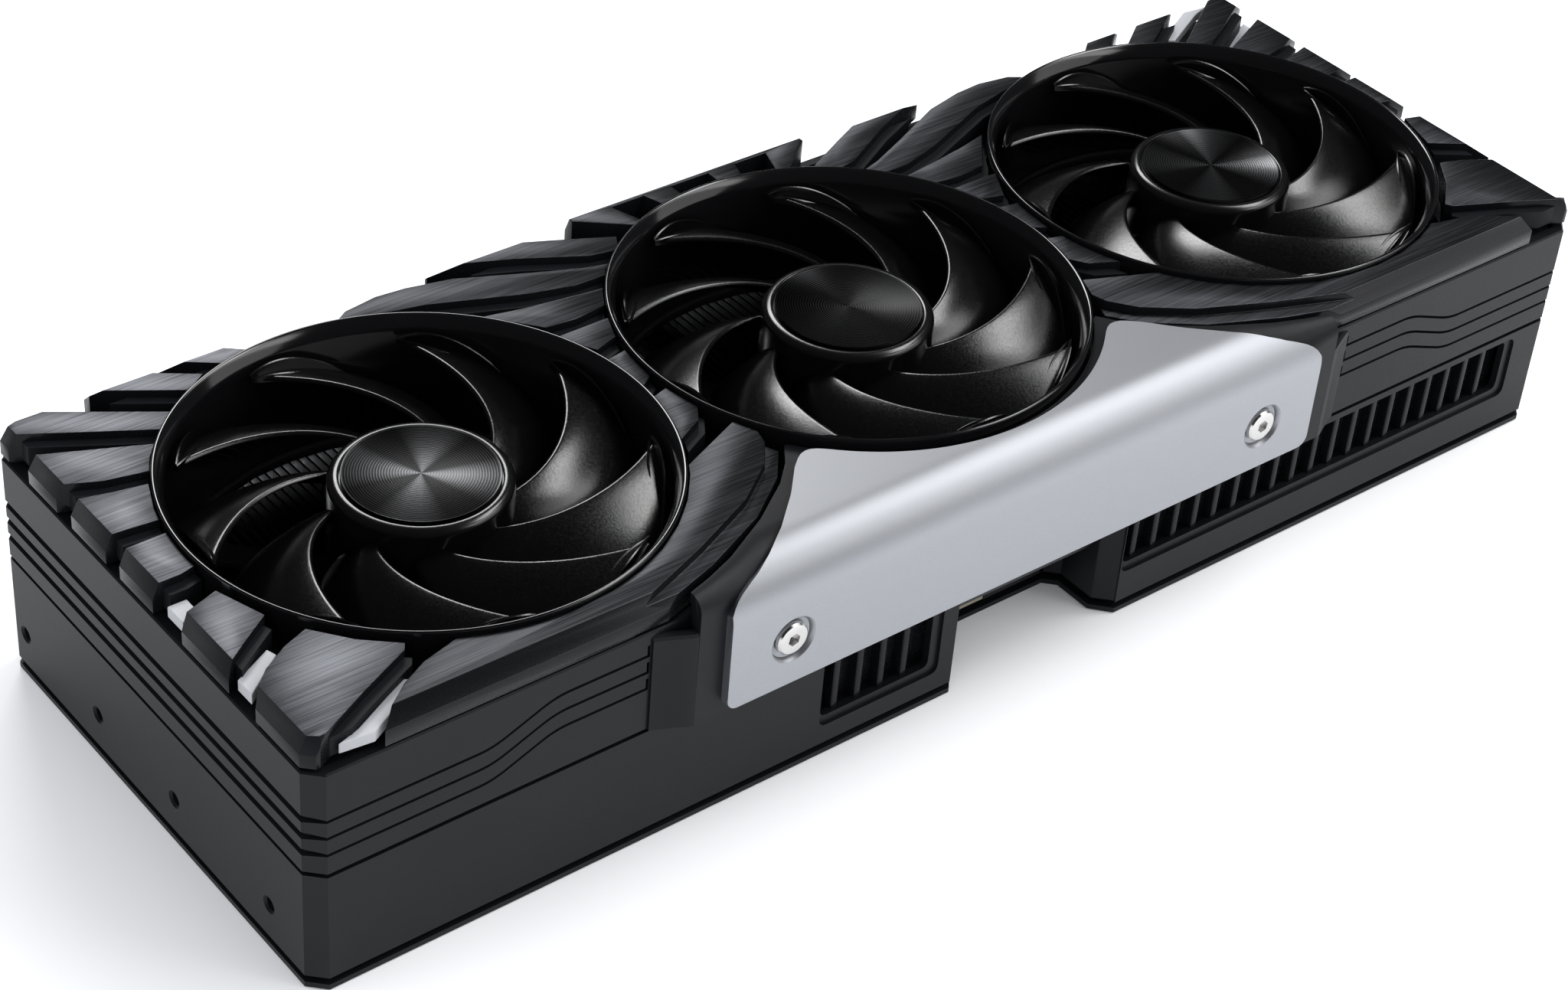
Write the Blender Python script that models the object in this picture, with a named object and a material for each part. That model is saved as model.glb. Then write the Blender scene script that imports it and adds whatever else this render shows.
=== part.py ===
"""Triple-fan graphics card, lying on its backplate with the fans facing up.

Frame: X along the card towards the input/output bracket, Y from the power
connector side towards the edge connector, Z out through the fans. The origin
is the centre of the backplate's underside. Sizes below are in millimetres and
become metres when a mesh is made.
"""
import math

import bmesh
import bpy
from mathutils import Vector

MM = 0.001

# Driving dimensions of the body
HALF_LENGTH = 166.0
HALF_WIDTH = 57.2
CORNER_CHAMFER = 3.3
GAP = 0.4

# Levels above the backplate's underside
BACKPLATE_TOP = 1.2
FRAME_BOTTOM = 2.8
FRAME_TOP = 27.9
BAND_BOTTOM = 28.5
BAND_TOP = 52.4
TRIM_BOTTOM = 53.0
TRIM_BASE_TOP = 54.0
TRIM_TOP = 60.05
TRIM_SHOULDER = 56.5
LEFT_BEVEL = 1.5
RIGHT_BEVEL = 5.0
NEAR_BEVEL = 2.0
FAR_BEVEL = 3.7
BRIDGE_BEVEL = 1.5
LEDGE_TOP = 58.2
SHROUD_FLOOR = 49.6
WALL = 2.4

# Fans
FAN_PITCH = 105.7
FAN_CENTRE_Y = -0.3
FAN_PHASES = {1: 48.6, 2: 59.3, 3: 43.0}
RING_OUTER = 50.8
RING_INNER = 48.4
RING_TOP = 61.1
RING_BOTTOM = 33.6
RING_HOLE = 51.2
BLADES = 9
BLADE_ROOT = 17.4
BLADE_TIP = 47.0
BLADE_SWEEP = 66.9
BLADE_SWEEP_EASE = -12.6
BLADE_ROOT_Z = 54.2
BLADE_RISE = 5.7
BLADE_RISE_EASE = -2.7
BLADE_CHORD = 38.0
BLADE_DROP = 11.5
BLADE_THICKNESS = 1.3
HUB_RADIUS = 18.1
HUB_BOTTOM = 40.0
HUB_TOP = 57.4
CUP_WALL = 1.4
CAP_RADIUS = 15.6
CAP_TOP = 58.6
SHAFT_RADIUS = 1.25
BEARING_INNER = 1.6
BEARING_OUTER = 3.4
STATOR_OUTER = 12.5
MOUNT_BOTTOM = 31.0
MOUNT_TOP = 33.0

# Silver plate and bezel
PLATE_TOP = 60.4
PLATE_FRONT = -63.2
PLATE_BEND = 10.0
PLATE_THICKNESS = 1.6
PLATE_BOTTOM = 30.3
PLATE_HALF = 78.3
PLATE_ARC = 53.5
PLATE_SCREW_X = 63.0
PLATE_SCREW_Z = 41.0
BEZEL_BEND = 12.0
BEZEL_TOP = 58.4
BEZEL_FRONT = -61.2
BEZEL_BACK = -57.6
BEZEL_FLOOR = 53.4

# Circuit board and cooler
BOARD_BOTTOM = 3.1
BOARD_TOP = 4.7
BOARD_LEFT = -22.0
BOARD_RIGHT = 160.0
TONGUE_END = 63.9
NOTCH_LEFT = -13.7
NOTCH_RIGHT = 33.0
NOTCH_BACK = -41.0
CHIP_X = 62.0
CHIP_Y = 2.0
FIN_PITCH = 2.0
FIN_THICKNESS = 0.5
FIN_BASE = 15.6
FIN_BASE_TOP = 16.6
FIN_TOP = 30.2
FIN_HALF_WIDTH = 51.0


# ---------------------------------------------------------------- helpers

def clear_scene():
    for obj in list(bpy.data.objects):
        bpy.data.objects.remove(obj, do_unlink=True)


def make_material(name, colour, roughness, metallic):
    material = bpy.data.materials.new(name)
    material.use_nodes = True
    shader = material.node_tree.nodes["Principled BSDF"]
    shader.inputs["Base Color"].default_value = (*colour, 1.0)
    shader.inputs["Roughness"].default_value = roughness
    shader.inputs["Metallic"].default_value = metallic
    return material


def add_object(name, mesh, material, origin=(0, 0, 0)):
    """An object whose mesh is already in metres, with its origin at a point in mm."""
    offset = Vector(origin) * MM
    for vertex in mesh.vertices:
        vertex.co -= offset
    obj = bpy.data.objects.new(name, mesh)
    obj.location = offset
    mesh.materials.append(material)
    bpy.context.scene.collection.objects.link(obj)
    return obj


def finish_mesh(name, bm):
    bmesh.ops.recalc_face_normals(bm, faces=bm.faces)
    bmesh.ops.scale(bm, vec=(MM, MM, MM), verts=bm.verts)
    mesh = bpy.data.meshes.new(name)
    bm.to_mesh(mesh)
    bm.free()
    return mesh


def add_prism(bm, outline, low, high, axis="Z"):
    """A straight prism on an outline; the axis names the direction it runs in."""
    def place(point, level):
        u, v = point
        return {"Z": (u, v, level), "X": (level, u, v), "Y": (u, level, v)}[axis]
    start = [bm.verts.new(place(point, low)) for point in outline]
    end = [bm.verts.new(place(point, high)) for point in outline]
    bm.faces.new(list(reversed(start)))
    bm.faces.new(end)
    for index in range(len(outline)):
        following = (index + 1) % len(outline)
        bm.faces.new((start[index], start[following], end[following], end[index]))


def prism(name, outline, low, high, axis="Z"):
    bm = bmesh.new()
    add_prism(bm, outline, low, high, axis)
    return finish_mesh(name, bm)


def box_outline(left, near, right, far):
    return [(left, near), (right, near), (right, far), (left, far)]


def boxes(name, corners):
    """Several separate boxes in one mesh, each from its low and high corner."""
    bm = bmesh.new()
    for low, high in corners:
        add_prism(bm, box_outline(low[0], low[1], high[0], high[1]), low[2], high[2])
    return finish_mesh(name, bm)


def lathe(name, profile, centre=(0.0, 0.0), segments=40):
    """Turn a closed (radius, height) profile about a vertical line."""
    bm = bmesh.new()
    rings = []
    for radius, height in profile:
        if radius == 0.0:
            rings.append([bm.verts.new((centre[0], centre[1], height))])
            continue
        ring = []
        for index in range(segments):
            angle = 2 * math.pi * index / segments
            x = centre[0] + radius * math.cos(angle)
            y = centre[1] + radius * math.sin(angle)
            ring.append(bm.verts.new((x, y, height)))
        rings.append(ring)
    for first, second in zip(rings, rings[1:] + rings[:1]):
        if len(first) == 1 and len(second) == 1:
            continue
        for index in range(segments):
            following = (index + 1) % segments
            if len(first) == 1:
                bm.faces.new((first[0], second[following], second[index]))
            elif len(second) == 1:
                bm.faces.new((first[index], first[following], second[0]))
            else:
                bm.faces.new((first[index], first[following], second[following], second[index]))
    return finish_mesh(name, bm)


def disc(name, radius, low, high, centre, segments=40):
    return lathe(name, [(0.0, low), (radius, low), (radius, high), (0.0, high)], centre, segments)


def tube(name, inner, outer, low, high, centre, segments=40):
    profile = [(inner, low), (outer, low), (outer, high), (inner, high)]
    return lathe(name, profile, centre, segments)


def guide(mesh):
    """A hidden helper body for a Boolean."""
    obj = bpy.data.objects.new("guide_" + mesh.name, mesh)
    obj.display_type = "WIRE"
    obj.hide_render = True
    bpy.context.scene.collection.objects.link(obj)
    return obj


def boolean(target, mesh, operation="DIFFERENCE", solver="EXACT"):
    modifier = target.modifiers.new(operation.lower(), "BOOLEAN")
    modifier.operation = operation
    modifier.solver = solver
    modifier.object = guide(mesh)


def smooth(obj, angle=35):
    obj.data.shade_smooth()
    obj.data.set_sharp_from_angle(angle=math.radians(angle))


def arc(centre, radius, start, end, steps):
    """Points on a circle, from one angle to the other, in degrees."""
    points = []
    for index in range(steps + 1):
        angle = math.radians(start + (end - start) * index / steps)
        points.append((centre[0] + radius * math.cos(angle), centre[1] + radius * math.sin(angle)))
    return points


def mirrored(outline):
    return [(-x, y) for x, y in reversed(outline)]


def body_outline(inset=0.0):
    """The card's plan: a rectangle with chamfered upright corners."""
    x = HALF_LENGTH - inset
    y = HALF_WIDTH - inset
    c = CORNER_CHAMFER
    return [(-x + c, -y), (x - c, -y), (x, -y + c), (x, y - c),
            (x - c, y), (-x + c, y), (-x, y - c), (-x, -y + c)]


def notch_outline(grow=0.0, front=-HALF_WIDTH - 1.0):
    """The cut at the power connector: straight sides with a flare at the front."""
    left = NOTCH_LEFT - grow
    right = NOTCH_RIGHT + grow
    back = NOTCH_BACK + grow
    flare = 3.8
    corner = 2.5
    flare_end = -HALF_WIDTH + 4.2
    return [(left - 1.0, front), (right + 1.0, front), (right, -HALF_WIDTH),
            (right - flare, flare_end), (right - flare, back - corner),
            (right - flare - corner, back), (left + flare + corner, back),
            (left + flare, back - corner), (left + flare, flare_end), (left, -HALF_WIDTH)]


def fan_centre(number):
    return ((number - 2) * FAN_PITCH, FAN_CENTRE_Y)


def cut_ring_holes(target, numbers, low, high):
    for number in numbers:
        boolean(target, disc("ring_hole", RING_HOLE, low, high, fan_centre(number)))


# ---------------------------------------------------------------- materials

SATIN_BLACK = make_material("satin_black", (0.045, 0.047, 0.052), 0.42, 0.0)
BRUSHED_BLACK = make_material("brushed_black", (0.07, 0.072, 0.078), 0.35, 0.6)
GLOSS_BLACK = make_material("gloss_black", (0.008, 0.008, 0.009), 0.08, 0.0)
BLADE_BLACK = make_material("blade_black", (0.02, 0.02, 0.022), 0.32, 0.2)
SILVER = make_material("silver", (0.72, 0.73, 0.75), 0.32, 1.0)
SPUN = make_material("spun", (0.25, 0.25, 0.26), 0.25, 1.0)
DIFFUSER = make_material("diffuser", (0.85, 0.86, 0.87), 0.35, 0.0)
ALUMINIUM = make_material("aluminium", (0.6, 0.6, 0.61), 0.35, 1.0)
COPPER = make_material("copper", (0.75, 0.42, 0.26), 0.3, 1.0)
BOARD = make_material("board", (0.03, 0.035, 0.03), 0.5, 0.0)
STEEL = make_material("steel", (0.55, 0.55, 0.56), 0.3, 1.0)
PLASTIC = make_material("plastic", (0.02, 0.02, 0.02), 0.5, 0.0)


# ---------------------------------------------------------------- base

def make_backplate():
    plate = add_object("backplate", prism("backplate", body_outline(), 0.0, BACKPLATE_TOP), SATIN_BLACK)
    boolean(plate, prism("notch", notch_outline(), -1.0, BACKPLATE_TOP + 1.0))
    slots = []
    slot_pitch = 9.0
    for index in range(8):
        left = -150.0 + index * slot_pitch
        slots.append(((left, -40.0, -1.0), (left + 5.0, 40.0, BACKPLATE_TOP + 1.0)))
    boolean(plate, boxes("flow_slots", slots))


def make_board():
    near = -HALF_WIDTH + 4.5
    far = HALF_WIDTH - 3.0
    left, right = BOARD_LEFT, BOARD_RIGHT
    tongue_left, tongue_right = 33.0, 122.0
    key_left, key_right = 108.4, 110.3
    hook = 3.0
    outline = [(left, near), (right, near), (right, far), (tongue_right, far),
               (tongue_right, TONGUE_END - 0.8), (tongue_right - 0.8, TONGUE_END),
               (key_right, TONGUE_END), (key_right, TONGUE_END - 7.0),
               (key_left, TONGUE_END - 7.0), (key_left, TONGUE_END),
               (tongue_left + hook + 1.5, TONGUE_END), (tongue_left + hook + 1.5, TONGUE_END - 6.5),
               (tongue_left + hook, TONGUE_END - 6.5), (tongue_left + hook, TONGUE_END - 2.0),
               (tongue_left, TONGUE_END - 2.0), (tongue_left, far), (left, far)]
    board = add_object("circuit_board", prism("board", outline, BOARD_BOTTOM, BOARD_TOP), BOARD)
    notch_width = box_outline(-6.0, near - 2.0, 26.0, NOTCH_BACK + 0.2)
    boolean(board, prism("board_notch", notch_width, BOARD_BOTTOM - 1.0, BOARD_TOP + 1.0))


def make_chips():
    low = BOARD_TOP + GAP
    half = 22.5
    package = box_outline(CHIP_X - half, CHIP_Y - half, CHIP_X + half, CHIP_Y + half)
    add_object("graphics_package", prism("package", package, low, low + 1.8), BOARD)
    places = {1: (-37.0, -12.0), 2: (-37.0, 16.0), 3: (33.0, -12.0), 4: (33.0, 16.0)}
    for number, (x, y) in places.items():
        chip = box_outline(CHIP_X + x, CHIP_Y + y - 7.0, CHIP_X + x + 12.0, CHIP_Y + y + 7.0)
        add_object(f"memory_chip_{number}", prism("chip", chip, low, low + 1.2), PLASTIC)


def make_cooler():
    low = BOARD_TOP + GAP + 1.8 + GAP
    chamber = box_outline(CHIP_X - 39.0, CHIP_Y - 42.0, CHIP_X + 52.0, CHIP_Y + 42.0)
    add_object("vapour_chamber", prism("chamber", chamber, low, low + 3.4), COPPER)
    pipe_low = low + 3.4 + GAP
    pipe_height = FIN_BASE - GAP - pipe_low
    for number in range(1, 6):
        y = CHIP_Y + (number - 3) * 15.0
        section = [(y - 4.0, pipe_low + 1.0), (y - 3.0, pipe_low), (y + 3.0, pipe_low),
                   (y + 4.0, pipe_low + 1.0), (y + 4.0, pipe_low + pipe_height - 1.0),
                   (y + 3.0, pipe_low + pipe_height), (y - 3.0, pipe_low + pipe_height),
                   (y - 4.0, pipe_low + pipe_height - 1.0)]
        reach = -152.0 + 6.0 * abs(number - 3)
        mesh = prism("pipe", section, reach, CHIP_X + 62.0, "X")
        add_object(f"heat_pipe_{number}", mesh, COPPER)


def make_fin_stack(name, left, count):
    """Fins square to X on one base, as a single comb drawn in the XZ plane."""
    right = left + (count - 1) * FIN_PITCH + FIN_THICKNESS
    outline = [(left, FIN_BASE), (right, FIN_BASE)]
    for index in reversed(range(count)):
        x = left + index * FIN_PITCH
        if index != count - 1:
            outline.append((x + FIN_THICKNESS, FIN_BASE_TOP))
        outline.append((x + FIN_THICKNESS, FIN_TOP))
        outline.append((x, FIN_TOP))
        if index != 0:
            outline.append((x, FIN_BASE_TOP))
    mesh = prism(name, outline, -FIN_HALF_WIDTH, FIN_HALF_WIDTH, "Y")
    add_object(name, mesh, ALUMINIUM)


def make_power_connector():
    low = BOARD_TOP + GAP
    body = boxes("connector", [((0.4, NOTCH_BACK + 0.6, low), (19.4, NOTCH_BACK + 8.0, low + 9.2))])
    connector = add_object("power_connector", body, PLASTIC)
    sockets = []
    for row in range(2):
        for column in range(6):
            x = 1.6 + column * 3.0
            z = low + 1.6 + row * 3.6
            sockets.append(((x, NOTCH_BACK, z), (x + 2.1, NOTCH_BACK + 6.5, z + 2.4)))
    boolean(connector, boxes("sockets", sockets))


# ---------------------------------------------------------------- bracket end

PORT_LOW = BOARD_TOP + GAP
PORTS = {"display_port_1": (-33.0, 16.4, 6.0), "display_port_2": (-12.0, 16.4, 6.0),
         "display_port_3": (9.0, 16.4, 6.0), "media_port": (30.0, 15.0, 6.0)}
BRACKET_X = HALF_LENGTH + 0.5
BRACKET_THICKNESS = 1.0
BRACKET_TOP = 40.0
BRACKET_NEAR = -44.6
BRACKET_FAR = 72.0


def make_bracket():
    x = BRACKET_X
    outline = [(BRACKET_NEAR, 0.3), (60.0, 0.3), (BRACKET_FAR, 3.0), (BRACKET_FAR, 16.0),
               (60.0, BRACKET_TOP - 20.3), (57.0, BRACKET_TOP), (BRACKET_NEAR, BRACKET_TOP)]
    bracket = add_object("io_bracket", prism("bracket", outline, x, x + BRACKET_THICKNESS, "X"), STEEL)
    flange = boxes("flange", [((x, BRACKET_NEAR - 1.0, 0.3), (x + 11.4, BRACKET_NEAR + 0.05, BRACKET_TOP))])
    boolean(bracket, flange, "UNION")
    holes = []
    for near, width, height in PORTS.values():
        holes.append(((x - 1.0, near - 0.4, PORT_LOW - 0.4),
                      (x + 3.0, near + width + 0.4, PORT_LOW + height + 0.4)))
    for index in range(12):
        near = -36.0 + index * 7.0
        holes.append(((x - 1.0, near, 18.0), (x + 3.0, near + 4.2, 36.0)))
    for level in (10.0, 30.3):
        holes.append(((x + 4.0, BRACKET_NEAR - 2.0, level - 2.2), (x + 12.0, BRACKET_NEAR + 1.0, level + 2.2)))
    boolean(bracket, boxes("bracket_holes", holes))


def make_ports():
    for name, (near, width, height) in PORTS.items():
        low, high = PORT_LOW, PORT_LOW + height
        outline = [(near, low), (near + width, low), (near + width, high),
                   (near + 2.0, high), (near, high - 2.0)]
        port = add_object(name, prism(name, outline, 146.0, BRACKET_X + 1.2, "X"), STEEL)
        pocket = box_outline(near + 0.8, low + 0.8, near + width - 0.8, high - 2.2)
        boolean(port, prism("pocket", pocket, 152.0, BRACKET_X + 3.0, "X"))


# ---------------------------------------------------------------- side frame

RIB_PITCH = 6.02
RIB_WIDTH = 2.0
RIGHT_WINDOW = (33.8, 152.0, 12.5, 25.7)
LEFT_WINDOW = (-48.3, -20.0, 9.4, 25.7)


def window_slots(window, first_rib):
    """Openings between upright ribs, as boxes through the near wall."""
    left, right, low, high = window
    near, far = -HALF_WIDTH - 1.0, -HALF_WIDTH + WALL + 1.0
    slots = []
    edge = left
    rib = first_rib
    while rib + RIB_WIDTH < right:
        slots.append(((edge, near, low), (rib, far, high)))
        edge = rib + RIB_WIDTH
        rib += RIB_PITCH
    slots.append(((edge, near, low), (right, far, high)))
    return slots


def make_lower_frame():
    frame = add_object("lower_frame", prism("frame", body_outline(), FRAME_BOTTOM, FRAME_TOP), SATIN_BLACK)
    inner = body_outline(WALL)
    boolean(frame, prism("inside", inner, FRAME_BOTTOM - 1.0, FRAME_TOP + 1.0))
    boolean(frame, boxes("vents", window_slots(RIGHT_WINDOW, 36.6) + window_slots(LEFT_WINDOW, -45.0)))
    notch = box_outline(NOTCH_LEFT, -HALF_WIDTH - 1.0, NOTCH_RIGHT, -HALF_WIDTH + WALL + 1.0)
    boolean(frame, prism("frame_notch", notch, FRAME_BOTTOM - 1.0, FRAME_TOP - 3.0))
    far, beyond = HALF_WIDTH - WALL - 1.0, HALF_WIDTH + 1.0
    openings = [((30.0, far, FRAME_BOTTOM - 1.0), (125.0, beyond, 9.0))]
    for left, right in ((-150.0, -90.0), (-80.0, -20.0), (-10.0, 60.0), (70.0, 145.0)):
        openings.append(((left, far, 13.0), (right, beyond, 24.0)))
    openings.append(((HALF_LENGTH - WALL - 1.0, -46.0, FRAME_BOTTOM - 1.0),
                     (HALF_LENGTH + 1.0, 50.0, FRAME_TOP - 3.0)))
    boolean(frame, boxes("frame_openings", openings))
    hole_radius = 1.5
    for y in (-42.0, -8.0, 21.0, 50.0):
        section = arc((y, 10.9), hole_radius, 0, 330, 11)
        boolean(frame, prism("end_hole", section, -HALF_LENGTH - 1.0, -HALF_LENGTH + WALL + 1.0, "X"))


# ---------------------------------------------------------------- shroud

GROOVES = (33.3, 37.3, 41.3)
GROOVE_LIFT = 5.5
GROOVE_HALF = 0.35
GROOVE_DEPTH = 0.8
GROOVE_END = 92.3


def groove_cutter(level, side):
    """A thin band that runs along the near wall, lifts, and goes round one end."""
    x, y, c = HALF_LENGTH, HALF_WIDTH, CORNER_CHAMFER
    path = [(GROOVE_END, -y, GROOVE_LIFT), (114.0, -y, GROOVE_LIFT), (127.8, -y, 0.0),
            (x - c, -y, 0.0), (x, -y + c, 0.0), (x, y - c, 0.0), (x - c, y, 0.0), (100.0, y, 0.0)]
    outward = [(0, -1), (0, -1), (0, -1), (0.41, -1), (1, -0.41), (1, 0.41), (0.41, 1), (0, 1)]
    bm = bmesh.new()
    loops = []
    for (px, py, lift), (nx, ny) in zip(path, outward):
        loop = []
        for depth, rise in ((-GROOVE_DEPTH, -1), (1.0, -1), (1.0, 1), (-GROOVE_DEPTH, 1)):
            point = (side * (px + nx * depth), py + ny * depth, level + lift + rise * GROOVE_HALF)
            loop.append(bm.verts.new(point))
        loops.append(loop)
    bm.faces.new(loops[0])
    bm.faces.new(list(reversed(loops[-1])))
    for first, second in zip(loops, loops[1:]):
        for index in range(4):
            following = (index + 1) % 4
            bm.faces.new((first[index], second[index], second[following], first[following]))
    return finish_mesh("groove", bm)


def make_shroud():
    shroud = add_object("fan_shroud", prism("shroud", body_outline(), BAND_BOTTOM, BAND_TOP), SATIN_BLACK)
    boolean(shroud, prism("under", body_outline(WALL), BAND_BOTTOM - 1.0, SHROUD_FLOOR))
    cut_ring_holes(shroud, (1, 2, 3), BAND_BOTTOM - 1.0, BAND_TOP + 1.0)
    for level in GROOVES:
        boolean(shroud, groove_cutter(level, 1), solver="MANIFOLD")
        boolean(shroud, groove_cutter(level, -1), solver="MANIFOLD")


# ---------------------------------------------------------------- trim on the deck

# Plans of the raised blocks; points outside the body are trimmed to its bevelled edge.
LEFT_BLOCKS = [
    [(-168.0, 51.7), (-150.0, 41.5), (-140.0, 36.0), (-135.0, 39.5), (-164.0, 58.0), (-168.0, 58.0)],
    [(-168.0, 32.6), (-158.0, 28.0), (-148.0, 25.8), (-143.0, 32.5), (-168.0, 43.5)],
    [(-168.0, 13.3), (-154.0, 12.0), (-150.0, 22.4), (-158.0, 24.0), (-168.0, 26.6)],
    [(-168.0, -4.0), (-160.0, -4.0), (-156.0, -3.0), (-155.5, 8.0), (-168.0, 8.0)],
    [(-168.0, -32.0), (-160.0, -26.5), (-153.5, -22.2), (-157.2, -11.5), (-168.0, -15.0)],
    [(-168.0, -56.0), (-163.0, -56.0), (-150.0, -49.5), (-138.0, -44.0), (-137.0, -42.5),
     (-143.7, -36.8), (-149.5, -29.5), (-155.0, -31.5), (-161.0, -35.0), (-168.0, -41.5)],
    [(-146.2, 58.0), (-146.2, 54.9), (-130.0, 44.8), (-125.0, 48.0), (-139.5, 58.0)],
    [(-130.3, 58.0), (-130.3, 56.6), (-119.0, 48.5), (-112.5, 49.8), (-122.5, 58.0)],
]
CENTRE_BLOCKS = [
    [(-67.0, 58.0), (-67.0, 56.5), (-50.0, 49.2), (-40.0, 43.9), (-36.0, 41.8), (-29.5, 40.5), (-27.0, 44.8),
     (-37.5, 50.0), (-54.6, 58.0)],
    [(-94.0, 49.0), (-84.0, 47.0), (-75.0, 44.9), (-65.0, 41.0), (-55.0, 37.0), (-45.0, 34.3), (-36.5, 34.2),
     (-33.5, 37.0), (-40.0, 38.8), (-50.0, 43.0), (-60.0, 47.5), (-65.0, 49.8), (-75.0, 52.1),
     (-82.0, 52.7), (-90.0, 51.5)],
    [(-59.0, 25.0), (-52.0, 24.2), (-43.5, 25.3), (-39.0, 30.2), (-50.0, 31.7), (-60.0, 33.3), (-67.5, 35.0)],
    [(-54.8, 13.0), (-50.0, 14.6), (-47.5, 15.0), (-45.5, 21.1), (-59.5, 21.0)],
    [(-54.2, -1.9), (-51.4, 0.0), (-50.3, 9.9), (-55.4, 9.0)],
    [(-61.0, -21.5), (-52.2, -17.2), (-49.6, -13.5), (-51.2, -5.1), (-55.6, -6.4)],
]
FRONT_PANEL = [(-151.8, -58.0), (-99.0, -58.0), (-76.0, -49.5), (-60.0, -42.5), (-50.0, -35.5), (-45.6, -30.0),
               (-44.6, -26.5), (-46.8, -21.2), (-66.0, -29.2), (-105.7, -40.0), (-131.0, -47.0),
               (-137.0, -48.5), (-143.0, -51.5)]
FRONT_LEDGE = [(-130.0, -58.0), (-91.7, -58.0), (-76.0, -53.2), (-60.0, -46.2), (-49.0, -38.5), (-43.6, -32.0),
               (-46.0, -26.5), (-105.7, -45.0)]


def deck_envelope(far_bevel=FAR_BEVEL):
    """The space the trim may fill: the body's plan, bevelled above the shoulder."""
    x, y, c = HALF_LENGTH, HALF_WIDTH, CORNER_CHAMFER
    top_outline = [(-x + c, -y + NEAR_BEVEL), (x - c, -y + NEAR_BEVEL), (x - RIGHT_BEVEL, -y + c),
                   (x - RIGHT_BEVEL, y - c), (x - c - RIGHT_BEVEL, y - far_bevel),
                   (-x + c, y - far_bevel), (-x + LEFT_BEVEL, y - c - 1.0), (-x + LEFT_BEVEL, -y + c)]
    levels = [(body_outline(), TRIM_BOTTOM - 2.0), (body_outline(), TRIM_SHOULDER), (top_outline, TRIM_TOP)]
    bm = bmesh.new()
    loops = [[bm.verts.new((px, py, level)) for px, py in outline] for outline, level in levels]
    bm.faces.new(list(reversed(loops[0])))
    bm.faces.new(loops[-1])
    for lower, upper in zip(loops, loops[1:]):
        for index in range(len(lower)):
            following = (index + 1) % len(lower)
            bm.faces.new((lower[index], lower[following], upper[following], upper[index]))
    return finish_mesh("envelope", bm)


def make_trim(name, base, blocks, fans):
    """Raised blocks on one thin base, trimmed round the fan rings."""
    trim = add_object(name, prism(name, base, TRIM_BOTTOM, TRIM_BASE_TOP), BRUSHED_BLACK)
    for block in blocks:
        boolean(trim, prism("block", block, TRIM_BASE_TOP - 0.5, TRIM_TOP + 0.5), "UNION")
    boolean(trim, deck_envelope(), "INTERSECT")
    cut_ring_holes(trim, fans, TRIM_BOTTOM - 1.0, TRIM_TOP + 1.0)


def make_end_trims():
    base = [(-163.0, -54.0), (-150.0, -48.5), (-137.5, -42.5), (-150.0, -20.0), (-150.0, 20.0), (-135.0, 36.0),
            (-110.0, 48.0), (-113.0, 53.0), (-163.0, 53.0)]
    make_trim("left_end_trim", base, LEFT_BLOCKS, (1,))
    make_trim("right_end_trim", mirrored(base), [mirrored(block) for block in LEFT_BLOCKS], (3,))


def make_centre_trims():
    base = [(-61.5, -22.0), (-52.0, -17.5), (-50.5, 10.0), (-46.0, 20.0), (-38.0, 32.0), (-29.0, 40.0),
            (-38.5, 49.8), (-45.0, 53.0), (-90.0, 51.0), (-80.0, 44.0), (-66.0, 32.0)]
    make_trim("left_centre_trim", base, CENTRE_BLOCKS, (1, 2))
    make_trim("right_centre_trim", mirrored(base), [mirrored(block) for block in CENTRE_BLOCKS], (2, 3))


def make_front_panels():
    for name, outline, fan in (("left_front_panel", FRONT_PANEL, 1),
                               ("right_front_panel", mirrored(FRONT_PANEL), 3)):
        panel = add_object(name, prism(name, outline, TRIM_BOTTOM, TRIM_TOP + 0.5), BRUSHED_BLACK)
        ledge = FRONT_LEDGE if fan == 1 else mirrored(FRONT_LEDGE)
        boolean(panel, prism("ledge", ledge, TRIM_BOTTOM + 0.3, LEDGE_TOP), "UNION")
        boolean(panel, deck_envelope(), "INTERSECT")
        cut_ring_holes(panel, (fan, 2), TRIM_BOTTOM - 1.0, TRIM_TOP + 1.0)


def make_bridge():
    """The bridge at the far side, with three openings between its ribs."""
    outline = [(-31.5, 58.0), (-31.5, 54.5), (-21.0, 46.5), (-19.0, 43.0),
               (19.0, 43.0), (21.0, 46.5), (31.5, 54.5), (31.5, 58.0)]
    bridge = add_object("far_bridge", prism("bridge", outline, TRIM_BOTTOM, TRIM_TOP + 0.5), BRUSHED_BLACK)
    boolean(bridge, deck_envelope(BRIDGE_BEVEL), "INTERSECT")
    for left, right in ((-21.0, -12.5), (-5.0, 5.0), (12.5, 21.0)):
        middle = (left + right) / 2
        lean = -0.2 * middle
        opening = [(left + lean, 45.0), (right + lean, 45.0), (right, 54.8), (left, 54.8)]
        boolean(bridge, prism("opening", opening, TRIM_BASE_TOP, TRIM_TOP + 1.0))
    cut_ring_holes(bridge, (2,), TRIM_BOTTOM - 1.0, TRIM_TOP + 1.0)


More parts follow.
